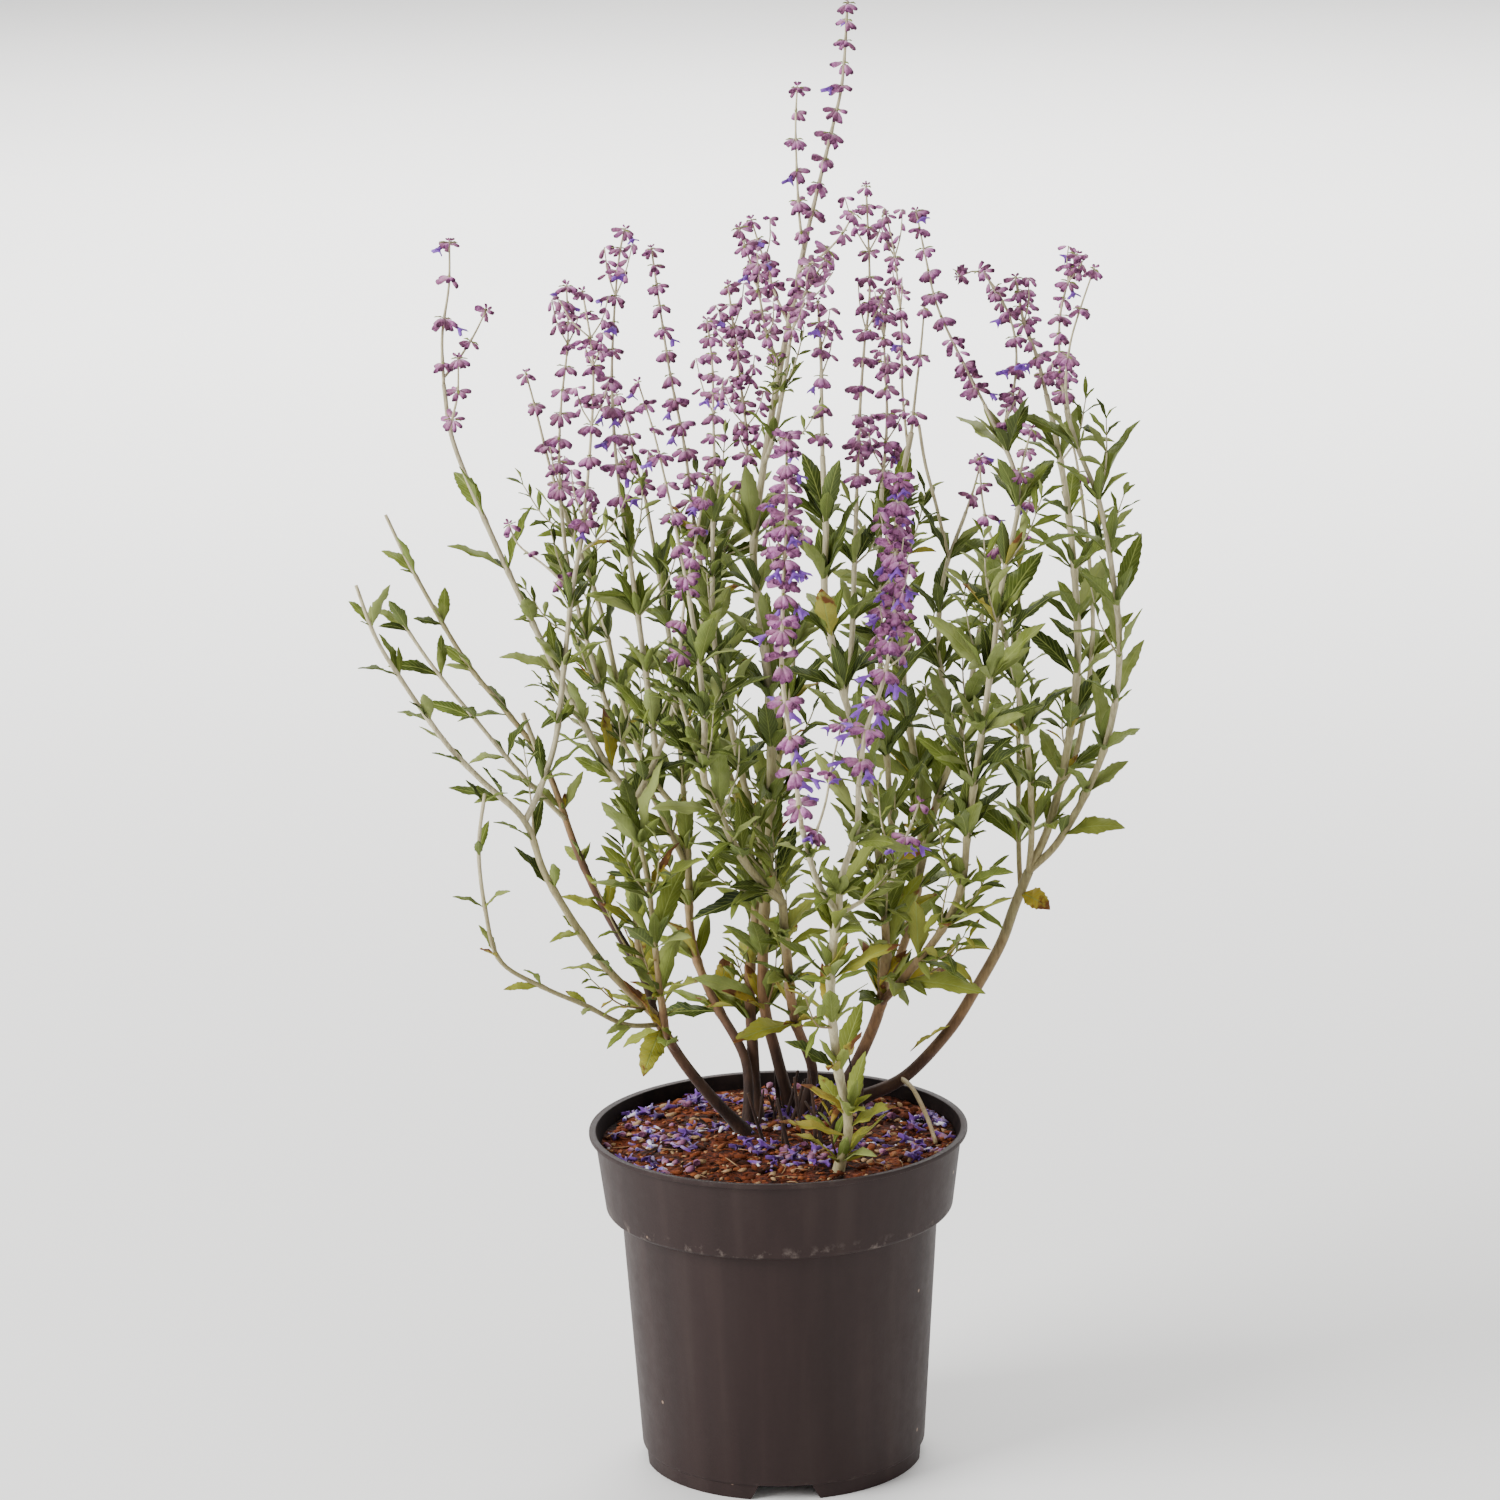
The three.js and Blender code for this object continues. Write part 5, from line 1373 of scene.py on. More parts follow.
# %% [markdown]
# ## The stems
#
# Old wood at the foot of a russian sage is brown and fissured. Further up, the year's growth is
# square in section, tan-green and covered in a fine silvery felt, with a swelling at each pair of
# leaves. The tubes take four soft ridges for the square section, a little more radius at each
# node, and a flare at the soil. The mark "along" goes from 0 in old wood to 1 in the silvery tips,
# and the finish reads it.

# %% Stem pieces
RING_STEP = 3.5
RIDGE = 0.07
NODE_SWELL = 0.22
NODE_REACH = 2.2
FOOT_FLARE = 0.35
FOOT_REACH = 9
STOUT_RADIUS = 2.1
STOUT_SIDES = 10
STEM_SIDES = 8
SHOOT_SIDES = 5
SHOOT_TAPER = (1.25, 0.6)
SHOOT_TONE = 0.1
WOOD_HEIGHT = 188
SILVER_HEIGHT = 395
STEM_TONES = {"left_brown": -0.4, "left": 0.02, "left_low": 0.1, "front": 0.75, "front_a": 0.5,
              "front_b": 0.5, "front_c": 0.3, "left_pale": 0.3, "left_pale_b": 0.3,
              "far_right_stalk": 0.45, "near_right_twig": -0.4, "left_droop": 0.3,
              "far_right": 0.12, "near_right": 0.08, "left_thin": 0.1}


def ripeness(points, tone=0):
    """How far a stem has gone from old brown wood at 0 to silvery felt at 1."""
    share = (points[:, 2] - WOOD_HEIGHT) / (SILVER_HEIGHT - WOOD_HEIGHT)
    return np.clip(share + tone, 0, 1)


def stem_shares(route, start, end):
    """Shares of a route for its rings."""
    return np.linspace(start, end, max(3, int((end - start) * route["length"] / RING_STEP) + 1))


def grow_stem(piece, entry):
    """Grows one stem with its nodes and its side shoots."""
    route = entry["route"]
    shares = stem_shares(route, 0, 1)
    frames = places_on(route, shares)
    radii = mix(*entry["radii"], shares)
    if entry["leaves"]:
        steps = np.arange(1, entry["nodes"] + 1) * (NODE_SPACING / route["length"])
        gaps = shares[:, None] - (entry["leaves"][0] + steps)[None]
        gaps = gaps * route["length"] / NODE_REACH
        radii = radii * (1 + NODE_SWELL * np.exp(-(gaps**2)).sum(axis=1))
    if entry["parent"] == "soil":
        above = np.abs(frames[0][:, 2] - SOIL_HEIGHT) / FOOT_REACH
        radii = radii * (1 + FOOT_FLARE * np.exp(-(above**2)))
    sides = STOUT_SIDES if entry["radii"][0] > STOUT_RADIUS else STEM_SIDES
    along = ripeness(frames[0], STEM_TONES.get(entry["name"], 0))
    tint = noise_of(len(entry["name"]) + route["length"])
    grow_tube(piece, frames, radii, sides, RIDGE, along=along, tint=tint)
    for shoot in entry.get("shoots", []):
        shares = stem_shares(shoot, 0, 1)
        frames = places_on(shoot, shares)
        radii = SHOOT_RADIUS * (SHOOT_TAPER[0] - SHOOT_TAPER[1] * shares)
        along = ripeness(frames[0], SHOOT_TONE)
        grow_tube(piece, frames, radii, SHOOT_SIDES, along=along, tint=tint)


# %% [markdown]
# The stem finish runs through the colours by the mark "along": dark fissured wood, brown bark, tan
# green, silvery cream. Noise stretched along the height breaks the colour into streaks and gives
# the bark its bump. A weak sheen stands for the felt.

# %% Stem finish
felt = {"Roughness": 0.72, "Sheen Weight": 0.08, "Sheen Roughness": 0.5}
stem_felt, tree, shader = new_finish("felted_stem", felt)
coords = add(tree, "TexCoord", {}, "Object")
ripe = add(tree, "Attribute", {}, "Fac", attribute_name="along")
tint = add(tree, "Attribute", {}, "Fac", attribute_name="tint")
long = add(tree, "Mapping", {"Vector": coords, "Scale": (700, 700, 120)})
streak = add(tree, "TexNoise", {"Vector": long, "Scale": 1, "Detail": 4, "Roughness": 0.6})
patch = add(tree, "TexNoise", {"Vector": coords, "Scale": 70, "Detail": 2})
shift = add(tree, "MapRange", {"Value": patch, "To Min": -0.14, "To Max": 0.14})
moved_ripe = add(tree, "Math", {0: ripe, 1: shift}, operation="ADD")
bark = add(tree, "ValToRGB", {"Fac": moved_ripe}, stops=[
    (0.0, "#2d1f1a"), (0.12, "#553c2d"), (0.26, "#8c6c4b"),
    (0.5, "#948a62"), (0.8, "#aba27a"), (1.0, "#c4bb99"),
])
span = {"From Min": 0.3, "From Max": 0.62, "To Min": 0.45, "To Max": 0.0}
dark = add(tree, "MapRange", {"Value": streak, **span})
streaked = add(tree, "Mix", {SHARE: dark, FIRST: bark, SECOND: "#4a3426"}, RESULT, data_type="RGBA")
tone = add(tree, "MapRange", {"Value": tint, "To Min": 0.86, "To Max": 1.12})
toned = add(tree, "HueSaturation", {"Color": streaked, "Value": tone})
furrow = add(tree, "Bump", {"Height": streak, "Strength": 0.6, "Distance": 0.0006})
feed(tree, shader, {"Base Color": toned, "Normal": furrow})

canes = [entry["name"] for entry in stems if entry["parent"] == "soil"]
for cane in canes:
    piece = bmesh.new()
    for entry in stems:
        if entry["cane"] == cane:
            grow_stem(piece, entry)
    for entry in spikes:
        if entry["cane"] == cane:
            route = entry["route"]
            shares = stem_shares(route, 0, entry["stalk_end"])
            frames = places_on(route, shares)
            radii = np.full(len(shares), float(entry["radius"]))
            along = ripeness(frames[0])
            grow_tube(piece, frames, radii, STEM_SIDES, RIDGE, along=along, tint=0.5)
    made = finish_piece(piece, "stems_" + cane, [stem_felt], ["cane_" + cane])
    print(made.name, triangles(made), "triangles")

# %% [markdown]
# ## A leaf template
#
# A sage leaf is a lance shape with a long wedge at its root and blunt teeth on the outer half.
# It is folded along its midrib like a shallow V. The template starts as a grid two faces wide.
# Its rows are pulled to the outline, row by row, and then the sheet gets a thickness. A small
# leaf has fewer rows and no teeth.

# %% Leaf templates
LEAF_ROWS = [
    (0.0, 0.12), (0.1, 0.13), (0.2, 0.34), (0.32, 0.68), (0.4, 0.86), (0.43, 0.78),
    (0.52, 0.93), (0.55, 0.81), (0.63, 0.86), (0.66, 0.72), (0.74, 0.72), (0.77, 0.58),
    (0.85, 0.52), (0.88, 0.38), (0.95, 0.2), (1.0, 0.03),
]
SMALL_ROWS = [(0.0, 0.22), (0.15, 0.35), (0.38, 0.9), (0.6, 1.0), (0.84, 0.6), (1.0, 0.05)]


def leaf_sheet(rows):
    """A flat leaf of half width one, with a top at z = 0.5 and an underside at z = -0.5."""
    sheet = bmesh.new()
    bmesh.ops.create_grid(sheet, x_segments=2, y_segments=len(rows) - 1, size=0.5)
    for vert in sheet.verts:
        share, half = rows[round((vert.co.y + 0.5) * (len(rows) - 1))]
        vert.co = Vector((2 * vert.co.x * half, share, 0.5))
    bmesh.ops.recalc_face_normals(sheet, faces=sheet.faces)
    if sheet.faces[:][0].normal.z < 0:
        bmesh.ops.reverse_faces(sheet, faces=sheet.faces)
    bmesh.ops.solidify(sheet, geom=sheet.faces[:], thickness=1)
    bmesh.ops.recalc_face_normals(sheet, faces=sheet.faces)
    return sheet


leaf_template = keep_template(leaf_sheet(LEAF_ROWS), "sage_leaf", thick=True)
small_template = keep_template(leaf_sheet(SMALL_ROWS), "small_leaf", thick=True)
print("leaf:", len(leaf_template.polygons), "faces; small leaf:", len(small_template.polygons))

# %% [markdown]
# ## Laying a template on the plant
#
# One function lays every leaf, calyx and flower: it turns the template's +Y to the wanted
# direction and bends it down along an arc. A leaf is first folded along its midrib, waved a
# little at its edges, rolled round its root and twisted towards its tip, each by its own numbers.

# %% Laying templates
BLADE_THICKNESS = 0.35
FOLD = (8, 28)
TWIST = (-20, 20)
WAVE = 0.16
WAVE_LIFT = 4
WAVES = 14
WAVE_STARTS = 6
LEAST_DROOP = 1e-3
OLD_BELOW = 190
OLD_FADE = 170
LOW_AGE = 0.85
LOW_AGE_POWER = 1.5
YOUNG_AGE = 0.04
YELLOW_AGE = 0.5
YELLOW_FROM = 0.98


def laid(shape, root, direction, length, droop):
    """Corners of a shape in millimetres, laid along a direction and bent down by an angle."""
    sideways = unit(np.cross(direction, UPWARD))
    upward = unit(np.cross(sideways, direction))
    droop = droop if abs(droop) > LEAST_DROOP else LEAST_DROOP
    turn = droop * shape[:, 1:2] / length
    radius = length / droop
    forward = (radius + shape[:, 2:3]) * np.sin(turn)
    rise = (radius + shape[:, 2:3]) * np.cos(turn) - radius
    return root + sideways * shape[:, :1] + direction * forward + upward * rise


def folded_leaf(template, leaf):
    """Corners of one leaf, with its own fold, wave and twist."""
    key = leaf["key"]
    corners = corners_of(template)
    across, share = corners[:, 0] * leaf["width"] / 2, corners[:, 1]
    fold = radians(mix(*FOLD, noise_of(key + 0.11)))
    beat = np.sin(share * WAVES + WAVE_STARTS * noise_of(key + 0.13))
    wave = beat * WAVE * (across**2) / leaf["width"]
    lift = np.abs(across) * sin(fold) + wave * WAVE_LIFT + corners[:, 2] * BLADE_THICKNESS
    flat = across * cos(fold)
    twist = leaf["roll"] + radians(mix(*TWIST, noise_of(key + 0.17))) * share
    side = flat * np.cos(twist) - lift * np.sin(twist)
    top = flat * np.sin(twist) + lift * np.cos(twist)
    bent = np.stack([side, share * leaf["length"], top], axis=1)
    return laid(bent, leaf["root"], leaf["direction"], leaf["length"], leaf["droop"])


def age_of(leaf):
    """How far a leaf has yellowed: the low ones more, and a few all over the plant."""
    if "age" in leaf:
        return leaf["age"]
    low = max(0, 1 - (leaf["root"][2] - OLD_BELOW) / OLD_FADE)
    chance = noise_of(leaf["key"] + 0.77)
    fading = LOW_AGE * low * noise_of(leaf["key"] + 0.61) ** LOW_AGE_POWER
    return YOUNG_AGE + fading + (YELLOW_AGE if chance > YELLOW_FROM else 0)


# %% [markdown]
# ## Leaf finish
#
# The leaves are olive to grey-green, paler and felted below, with a light midrib and slanting
# side veins. Old leaves turn yellow and go brown from the tip. The veins follow the leaf's own UV
# map, the age and the tint come from the marks, and a fine noise gives the puckered surface.

# %% Leaf finish
LEAF_TINTS = (-0.05, 0.85)
GREYER = {"front": 0.2}

sage_leaf, tree, shader = new_finish("sage_leaf", {"Specular IOR Level": 0.1, "Roughness": 0.62})
coords = add(tree, "TexCoord", {}, "Object")
tint = add(tree, "Attribute", {}, "Fac", attribute_name="tint")
age = add(tree, "Attribute", {}, "Fac", attribute_name="age")
under = add(tree, "Attribute", {}, "Fac", attribute_name="under")
lengthwise = add(tree, "SeparateXYZ", {"Vector": coords.node.outputs["UV"]}, "Y")
off_rib = add(tree, "Math", {0: lengthwise.node.outputs["X"], 1: 0.5}, operation="SUBTRACT")
off_rib = add(tree, "Math", {0: off_rib}, operation="ABSOLUTE")
slant = add(tree, "Math", {0: off_rib, 1: -0.55, 2: lengthwise}, operation="MULTIPLY_ADD")
beat = add(tree, "Math", {0: slant, 1: 70}, operation="MULTIPLY")
beat = add(tree, "Math", {0: beat}, operation="SINE")
side_vein = add(tree, "MapRange", {"Value": beat, "From Min": 0.75, "From Max": 1, "To Max": 0.45})
span = {"From Min": 0.035, "From Max": 0.015, "To Max": 0.8}
rib = add(tree, "MapRange", {"Value": off_rib, **span})
veins = add(tree, "Math", {0: side_vein, 1: rib}, operation="MAXIMUM")
mottle = add(tree, "TexNoise", {"Vector": coords, "Scale": 170, "Detail": 4})
lively = add(tree, "Math", {0: mottle, 1: 0.5, 2: tint}, operation="MULTIPLY_ADD")
green = add(tree, "ValToRGB", {"Fac": lively}, stops=[
    (0.2, "#2c3814"), (0.5, "#4b581e"), (0.8, "#6c792d"), (1.0, "#8a9355")
])
old = add(tree, "ValToRGB", {"Fac": age}, stops=[
    (0.0, "#66732d"), (0.35, "#8a8f35"), (0.7, "#b39733"), (1.0, "#7e5028")
])
ageing = add(tree, "MapRange", {"Value": age, "From Min": 0.05, "From Max": 0.32})
blade = add(tree, "Mix", {SHARE: ageing, FIRST: green, SECOND: old}, RESULT, data_type="RGBA")
blade = add(tree, "Mix", {SHARE: veins, FIRST: blade, SECOND: "#8f9950"}, RESULT, data_type="RGBA")
downy = add(tree, "Math", {0: under, 1: 0.4}, operation="MULTIPLY")
blade = add(tree, "Mix", {SHARE: downy, FIRST: blade, SECOND: "#6f7c4a"}, RESULT, data_type="RGBA")
past = add(tree, "Math", {0: lengthwise, 1: mottle}, operation="ADD")
past = add(tree, "Math", {0: past, 1: age}, operation="ADD")
dead = add(tree, "MapRange", {"Value": past, "From Min": 1.78, "From Max": 1.9})
blade = add(tree, "Mix", {SHARE: dead, FIRST: blade, SECOND: "#6b4426"}, RESULT, data_type="RGBA")
relief = add(tree, "Math", {0: mottle, 1: veins}, operation="SUBTRACT")
pucker = add(tree, "Bump", {"Height": relief, "Strength": 0.5, "Distance": 0.0005})
feed(tree, shader, {"Base Color": blade, "Normal": pucker})

for cane in canes:
    piece = bmesh.new()
    for entry in stems:
        for leaf in entry["blades"] if entry["cane"] == cane else []:
            template = small_template if "small" in leaf else leaf_template
            tint = mix(*LEAF_TINTS, noise_of(leaf["key"] + 0.41)) + GREYER.get(cane, 0)
            stamp(piece, template, folded_leaf(template, leaf), tint=tint, age=age_of(leaf))
    made = finish_piece(piece, "leaves_" + cane, [sage_leaf], ["cane_" + cane])
    print(made.name, triangles(made), "triangles")

# %% [markdown]
# ## Calyx and flower templates
#
# After the flowers drop, the woolly mauve calyces stay on the spike and give it its colour. A
# calyx is a small bell on a thin stalk: narrow at its root, wide at the mouth, with pointed
# teeth. An open flower is a blue-violet tube with five spread lobes that sits in a calyx. Both
# start as the straight tube. Each ring gets its radius and its place, every other corner of the
# mouth is pulled out to a tooth or a lobe, and the last ring goes back inside.

# %% Calyx and flower templates
CALYX_RINGS = [(0.0, 0.11, 0), (0.15, 0.13, 0), (0.3, 0.66, 0), (0.62, 1.0, 0),
               (0.95, 0.92, 0.06), (0.8, 0.45, 0)]
FLOWER_RINGS = [(0.0, 0.2, 0), (0.45, 0.26, 0), (0.62, 0.5, 0), (0.78, 0.72, 0.07),
                (0.88, 0.74, 0.16), (0.7, 0.3, 0), (0.5, 0.14, 0)]
TUBE_RINGS = [(0.0, 0.45, 0), (0.35, 0.6, 0), (0.8, 1.0, 0), (1.0, 0.9, 0.08), (0.85, 0.5, 0)]
CALYX_SIDES = 6
FLOWER_SIDES = 10
LOBES = 0.36


def bell(rings, sides, lobes=0):
    """A hollow bell along +Y; every other corner of a ring may be pulled out to a tooth."""
    shape = straight_tube(sides, len(rings))
    for vert in shape.verts:
        place, radius, tooth = rings[round(vert.co.z)]
        side = round(atan2(vert.co.y, vert.co.x) * sides / (2 * pi)) % sides
        out = 1 if side % 2 else -1
        radius = radius * (1 + (lobes * out if tooth else 0))
        vert.co = Vector((vert.co.x * radius, vert.co.y * radius, place + tooth * out))
    bmesh.ops.rotate(shape, verts=shape.verts, matrix=Matrix.Rotation(-pi / 2, 3, "X"))
    bmesh.ops.recalc_face_normals(shape, faces=shape.faces)
    return shape


calyx_template = keep_template(bell(CALYX_RINGS, CALYX_SIDES), "calyx")
flower_template = keep_template(bell(FLOWER_RINGS, FLOWER_SIDES, LOBES), "flower")
petal_tube_template = keep_template(bell(TUBE_RINGS, CALYX_SIDES), "petal_tube")
print("calyx:", len(calyx_template.polygons), "faces; flower:", len(flower_template.polygons))

# %% [markdown]
# ## Finishes of the flowers
#
# The calyx is mauve and woolly: a pale pinkish stalk, a dusty body that catches light on its
# hairs, and a mouth darkened to deep wine as painted shade in the open bell. The hairs are far
# too fine to model, so a sheen does their work. The flower is a strong blue-violet, paler in its
# throat. Both read the marks "along" and "tint".

# %% Calyx finish
hairs = {"Sheen Weight": 0.15, "Sheen Roughness": 0.4, "Sheen Tint": "#e8c4e0"}
calyx_wool, tree, shader = new_finish("woolly_calyx", {"Roughness": 0.8, **hairs})
coords = add(tree, "TexCoord", {}, "Object")
along = add(tree, "Attribute", {}, "Fac", attribute_name="along")
tint = add(tree, "Attribute", {}, "Fac", attribute_name="tint")
wool = add(tree, "TexNoise", {"Vector": coords, "Scale": 650, "Detail": 3, "Roughness": 0.65})
blur = add(tree, "MapRange", {"Value": wool, "To Min": -0.42, "To Max": 0.42})
place = add(tree, "Math", {0: along, 1: blur}, operation="ADD")
# Towards the mouth the ramp darkens to wine: painted shade in the open bell.
mauve = add(tree, "ValToRGB", {"Fac": place}, stops=[
    (0.05, "#bfa9ab"), (0.3, "#b986a6"), (0.6, "#a2678f"), (0.85, "#784569"), (1.0, "#46213d")
])
light = add(tree, "MapRange", {"Value": tint, "To Min": 0.7, "To Max": 1.38})
hue = add(tree, "MapRange", {"Value": tint, "To Min": 0.52, "To Max": 0.48})
dusty = add(tree, "HueSaturation", {"Color": mauve, "Value": light, "Hue": hue})
fuzz = add(tree, "Bump", {"Height": wool, "Strength": 0.5, "Distance": 0.0004})
feed(tree, shader, {"Base Color": dusty, "Normal": fuzz})

# %% Flower finish
flower_petal, tree, shader = new_finish("violet_petal", {"Roughness": 0.55, "Sheen Weight": 0.05})
coords = add(tree, "TexCoord", {}, "Object")
along = add(tree, "Attribute", {}, "Fac", attribute_name="along")
tint = add(tree, "Attribute", {}, "Fac", attribute_name="tint")
line = add(tree, "TexNoise", {"Vector": coords, "Scale": 700, "Detail": 2})
blur = add(tree, "MapRange", {"Value": line, "To Min": -0.12, "To Max": 0.12})
place = add(tree, "Math", {0: along, 1: blur}, operation="ADD")
violet = add(tree, "ValToRGB", {"Fac": place}, stops=[
    (0.1, "#b393cc"), (0.4, "#8452b0"), (0.7, "#7342a4"), (1.0, "#8655bc")
])
# The tint falls below zero on the dropped flowers, which darkens them past the ramp: painted shade.
light = add(tree, "MapRange", {"Value": tint, "To Min": 0.7, "To Max": 1.35}, clamp=False)
petal = add(tree, "HueSaturation", {"Color": violet, "Value": light})
crease = add(tree, "Bump", {"Height": line, "Strength": 0.4, "Distance": 0.0003})
feed(tree, shader, {"Base Color": petal, "Normal": crease})
print("flower finishes:", calyx_wool.name, flower_petal.name)

# %% [markdown]
# ## The spikes
#
# A whorl is two bunches of calyces on opposite sides of the axis, and the next whorl is turned a
# quarter. Each calyx points outwards and hangs a little. From some whorls a pair of thin side twigs
# rises, each with a few small whorls of its own; they are grown only where they find room. Near
# the front of the plant the spikes still bloom, so there some calyces hold an open flower. The
# number of open flowers of each spike is counted from the photograph.

# %% Spike pieces
BUNCH = (-66, -22, 22, 66)
BUNCH_JITTER = 24
MISSING = (0.08, 0.24)
FULL_REACH = 8
CALYX_REACH = 1.16
CALYX_LENGTHS = (6.4, 9)
CALYX_LENGTH_SPREAD = (0.88, 1.08)
CALYX_WIDTH_SPREAD = (0.85, 1.15)
CALYX_FLATNESS = 0.86
CALYX_MOUTH = 0.62
TIERS = ((2, 58),)
FULL_TIERS = ((18, 68), (-30, 20))
TIER_RISE = 4.2
SECOND_TIER_FROM = 0.3
CALYX_WIDTH_SHARE = 0.21
CALYX_BEND = (0, 22)
FLOWER_WIDTH = 3.6
FLOWER_WIDTH_SPREAD = (0.85, 1.2)
FLOWER_FLATNESS = 0.8
FLOWER_SINK = 0.15
FLOWER_BEND = radians(20)
SPIKE_TAPER = 0.55
SPIKE_TONE = 0.2
WHORL_SWELL = 0.3
WHORL_SWELL_REACH = 1.6
BRACT_LENGTH = 4.2
BRACT_LENGTH_SPREAD = (0.7, 1.2)
BRACT_WIDTH = 1.5
BRACT_RISE = radians(12)
BRACT_DROOP = radians(30)
BUDS = 4
BUD_LENGTH = 2.6
BUD_LENGTH_SPREAD = (0.7, 1.3)
BUD_WIDTH_SHARE = 0.22
BUD_RISE = (25, 30)
BUD_BEND = radians(10)
WITHOUT_TWIGS = ("tall", "tall_twin", "centre_a", "centre_b", "left_yellow")
FRESH = {"front_a": 0.2, "front_b": 0.45, "front_c": 0.3, "front_mid": 0.3}
TWIG_WHORLS_LEAST = 5
TWIG_CHANCE = 0.45
TWIG_HIGHEST = 0.8
TWIG_LENGTHS = (13, 30)
TWIG_RISE = (48, 66)
TWIG_STRAIGHTEN = 0.3
TWIG_RADII = (0.5, 0.3)
TWIG_RINGS = 6
TWIG_PROBES = np.linspace(0.4, 1, 5)
TWIG_WHORLS = 3
TWIG_BUNCH = 4
TWIG_FULL = 0.7
TWIG_CALYX = 5.4
TWIG_SHRINK = 0.12
TWIG_ROOM = 4
OPEN_FLOWERS = {
    "left_b": 12, "left_pale": 2, "left_outer": 2, "left_yellow": 4, "back_left_c": 3,
    "centre_a": 6, "centre_b": 5, "centre_c": 3, "tall": 2, "tall_twin": 1, "tall_left_b": 3,
    "near_right_a": 3, "near_right_b": 4, "near_right_c": 3, "near_right_f": 3, "near_right_g": 3,
    "near_right_i": 2, "far_right_c": 2, "far_right_d": 3, "far_right_b": 2, "front_a": 20,
    "front_b": 30, "front_c": 3, "front_mid": 4,
}


def calyx_direction(place, heading, drop):
    """A direction that points away from the axis and hangs down by an angle."""
    _, along, across, behind = place
    outward = behind * cos(heading) + across * sin(heading)
    return unit(outward * cos(drop) - along * sin(drop))


def grow_calyx(piece, place, heading, size, key, flower, drops=TIERS[0], fresh=0):
    """One calyx of a whorl, with an open flower in it if it blooms."""
    drop = radians(mix(*drops, noise_of(key + 0.3)))
    direction = calyx_direction(place, heading, drop)
    spread = mix(*CALYX_LENGTH_SPREAD, noise_of(key + 0.4))
    length = np.clip(size * CALYX_REACH, *CALYX_LENGTHS) * spread
    bend = radians(mix(*CALYX_BEND, noise_of(key + 0.5)))
    width = length * CALYX_WIDTH_SHARE * mix(*CALYX_WIDTH_SPREAD, noise_of(key + 0.9))
    shape = corners_of(calyx_template) * np.array((width, length, width * CALYX_FLATNESS))
    corners = laid(shape, place[0], direction, length, bend)
    tint = mix(fresh, 1, noise_of(key + 0.7))
    stamp(piece, calyx_template, corners, 1, tint=tint)
    if flower:
        mouth = np.array(((0, length * CALYX_MOUTH, 0),))
        mouth = laid(mouth, place[0], direction, length, bend)[0]
        width = FLOWER_WIDTH * mix(*FLOWER_WIDTH_SPREAD, noise_of(key + 0.2))
        shape = corners_of(flower_template) * np.array((width, size, width * FLOWER_FLATNESS))
        corners = laid(shape, mouth, unit(direction - UPWARD * FLOWER_SINK), size, FLOWER_BEND)
        stamp(piece, flower_template, corners, 2, tint=noise_of(key + 0.8))


def grow_whorl(piece, entry, whorl, number, seed, blooming):
    """Two bunches of calyces on opposite sides of the axis, with small bracts under them."""
    place = place_on(entry["route"], whorl["share"])
    turn = pi * noise_of(seed)
    full = entry["reach"] > FULL_REACH
    missing = MISSING[0] + MISSING[1] * whorl["order"]
    fresh = FRESH.get(entry["name"], 0)
    two_tiers = full and whorl["order"] > SECOND_TIER_FROM
    for side in (0, 1):
        arm = (number % 2 + 2 * side) * pi / 2 + turn
        for tier, drops in enumerate(FULL_TIERS if two_tiers else TIERS):
            raised = whorl["share"] + tier * TIER_RISE / entry["route"]["length"]
            tier_place = place_on(entry["route"], raised)
            for i, offset in enumerate(BUNCH):
                key = seed * 31 + number * 5 + side * 2.5 + i * 0.37 + tier * 0.19
                if not full and noise_of(key + 0.05) < missing:
                    continue
                swing = offset + BUNCH_JITTER * noise_of(key) - BUNCH_JITTER / 2
                heading = arm + radians(swing)
                bloom = tier == 0 and (number, side, i) in blooming
                grow_calyx(piece, tier_place, heading, whorl["size"], key, bloom, drops, fresh)
        key = seed * 13 + number * 3 + side
        length = BRACT_LENGTH * mix(*BRACT_LENGTH_SPREAD, noise_of(key))
        bract = dict(root=place[0], direction=calyx_direction(place, arm, -BRACT_RISE),
                     length=length, width=BRACT_WIDTH, droop=BRACT_DROOP, roll=0, key=key)
        corners = folded_leaf(small_template, bract)
        stamp(piece, small_template, corners, 3, tint=0.8, age=0.1)


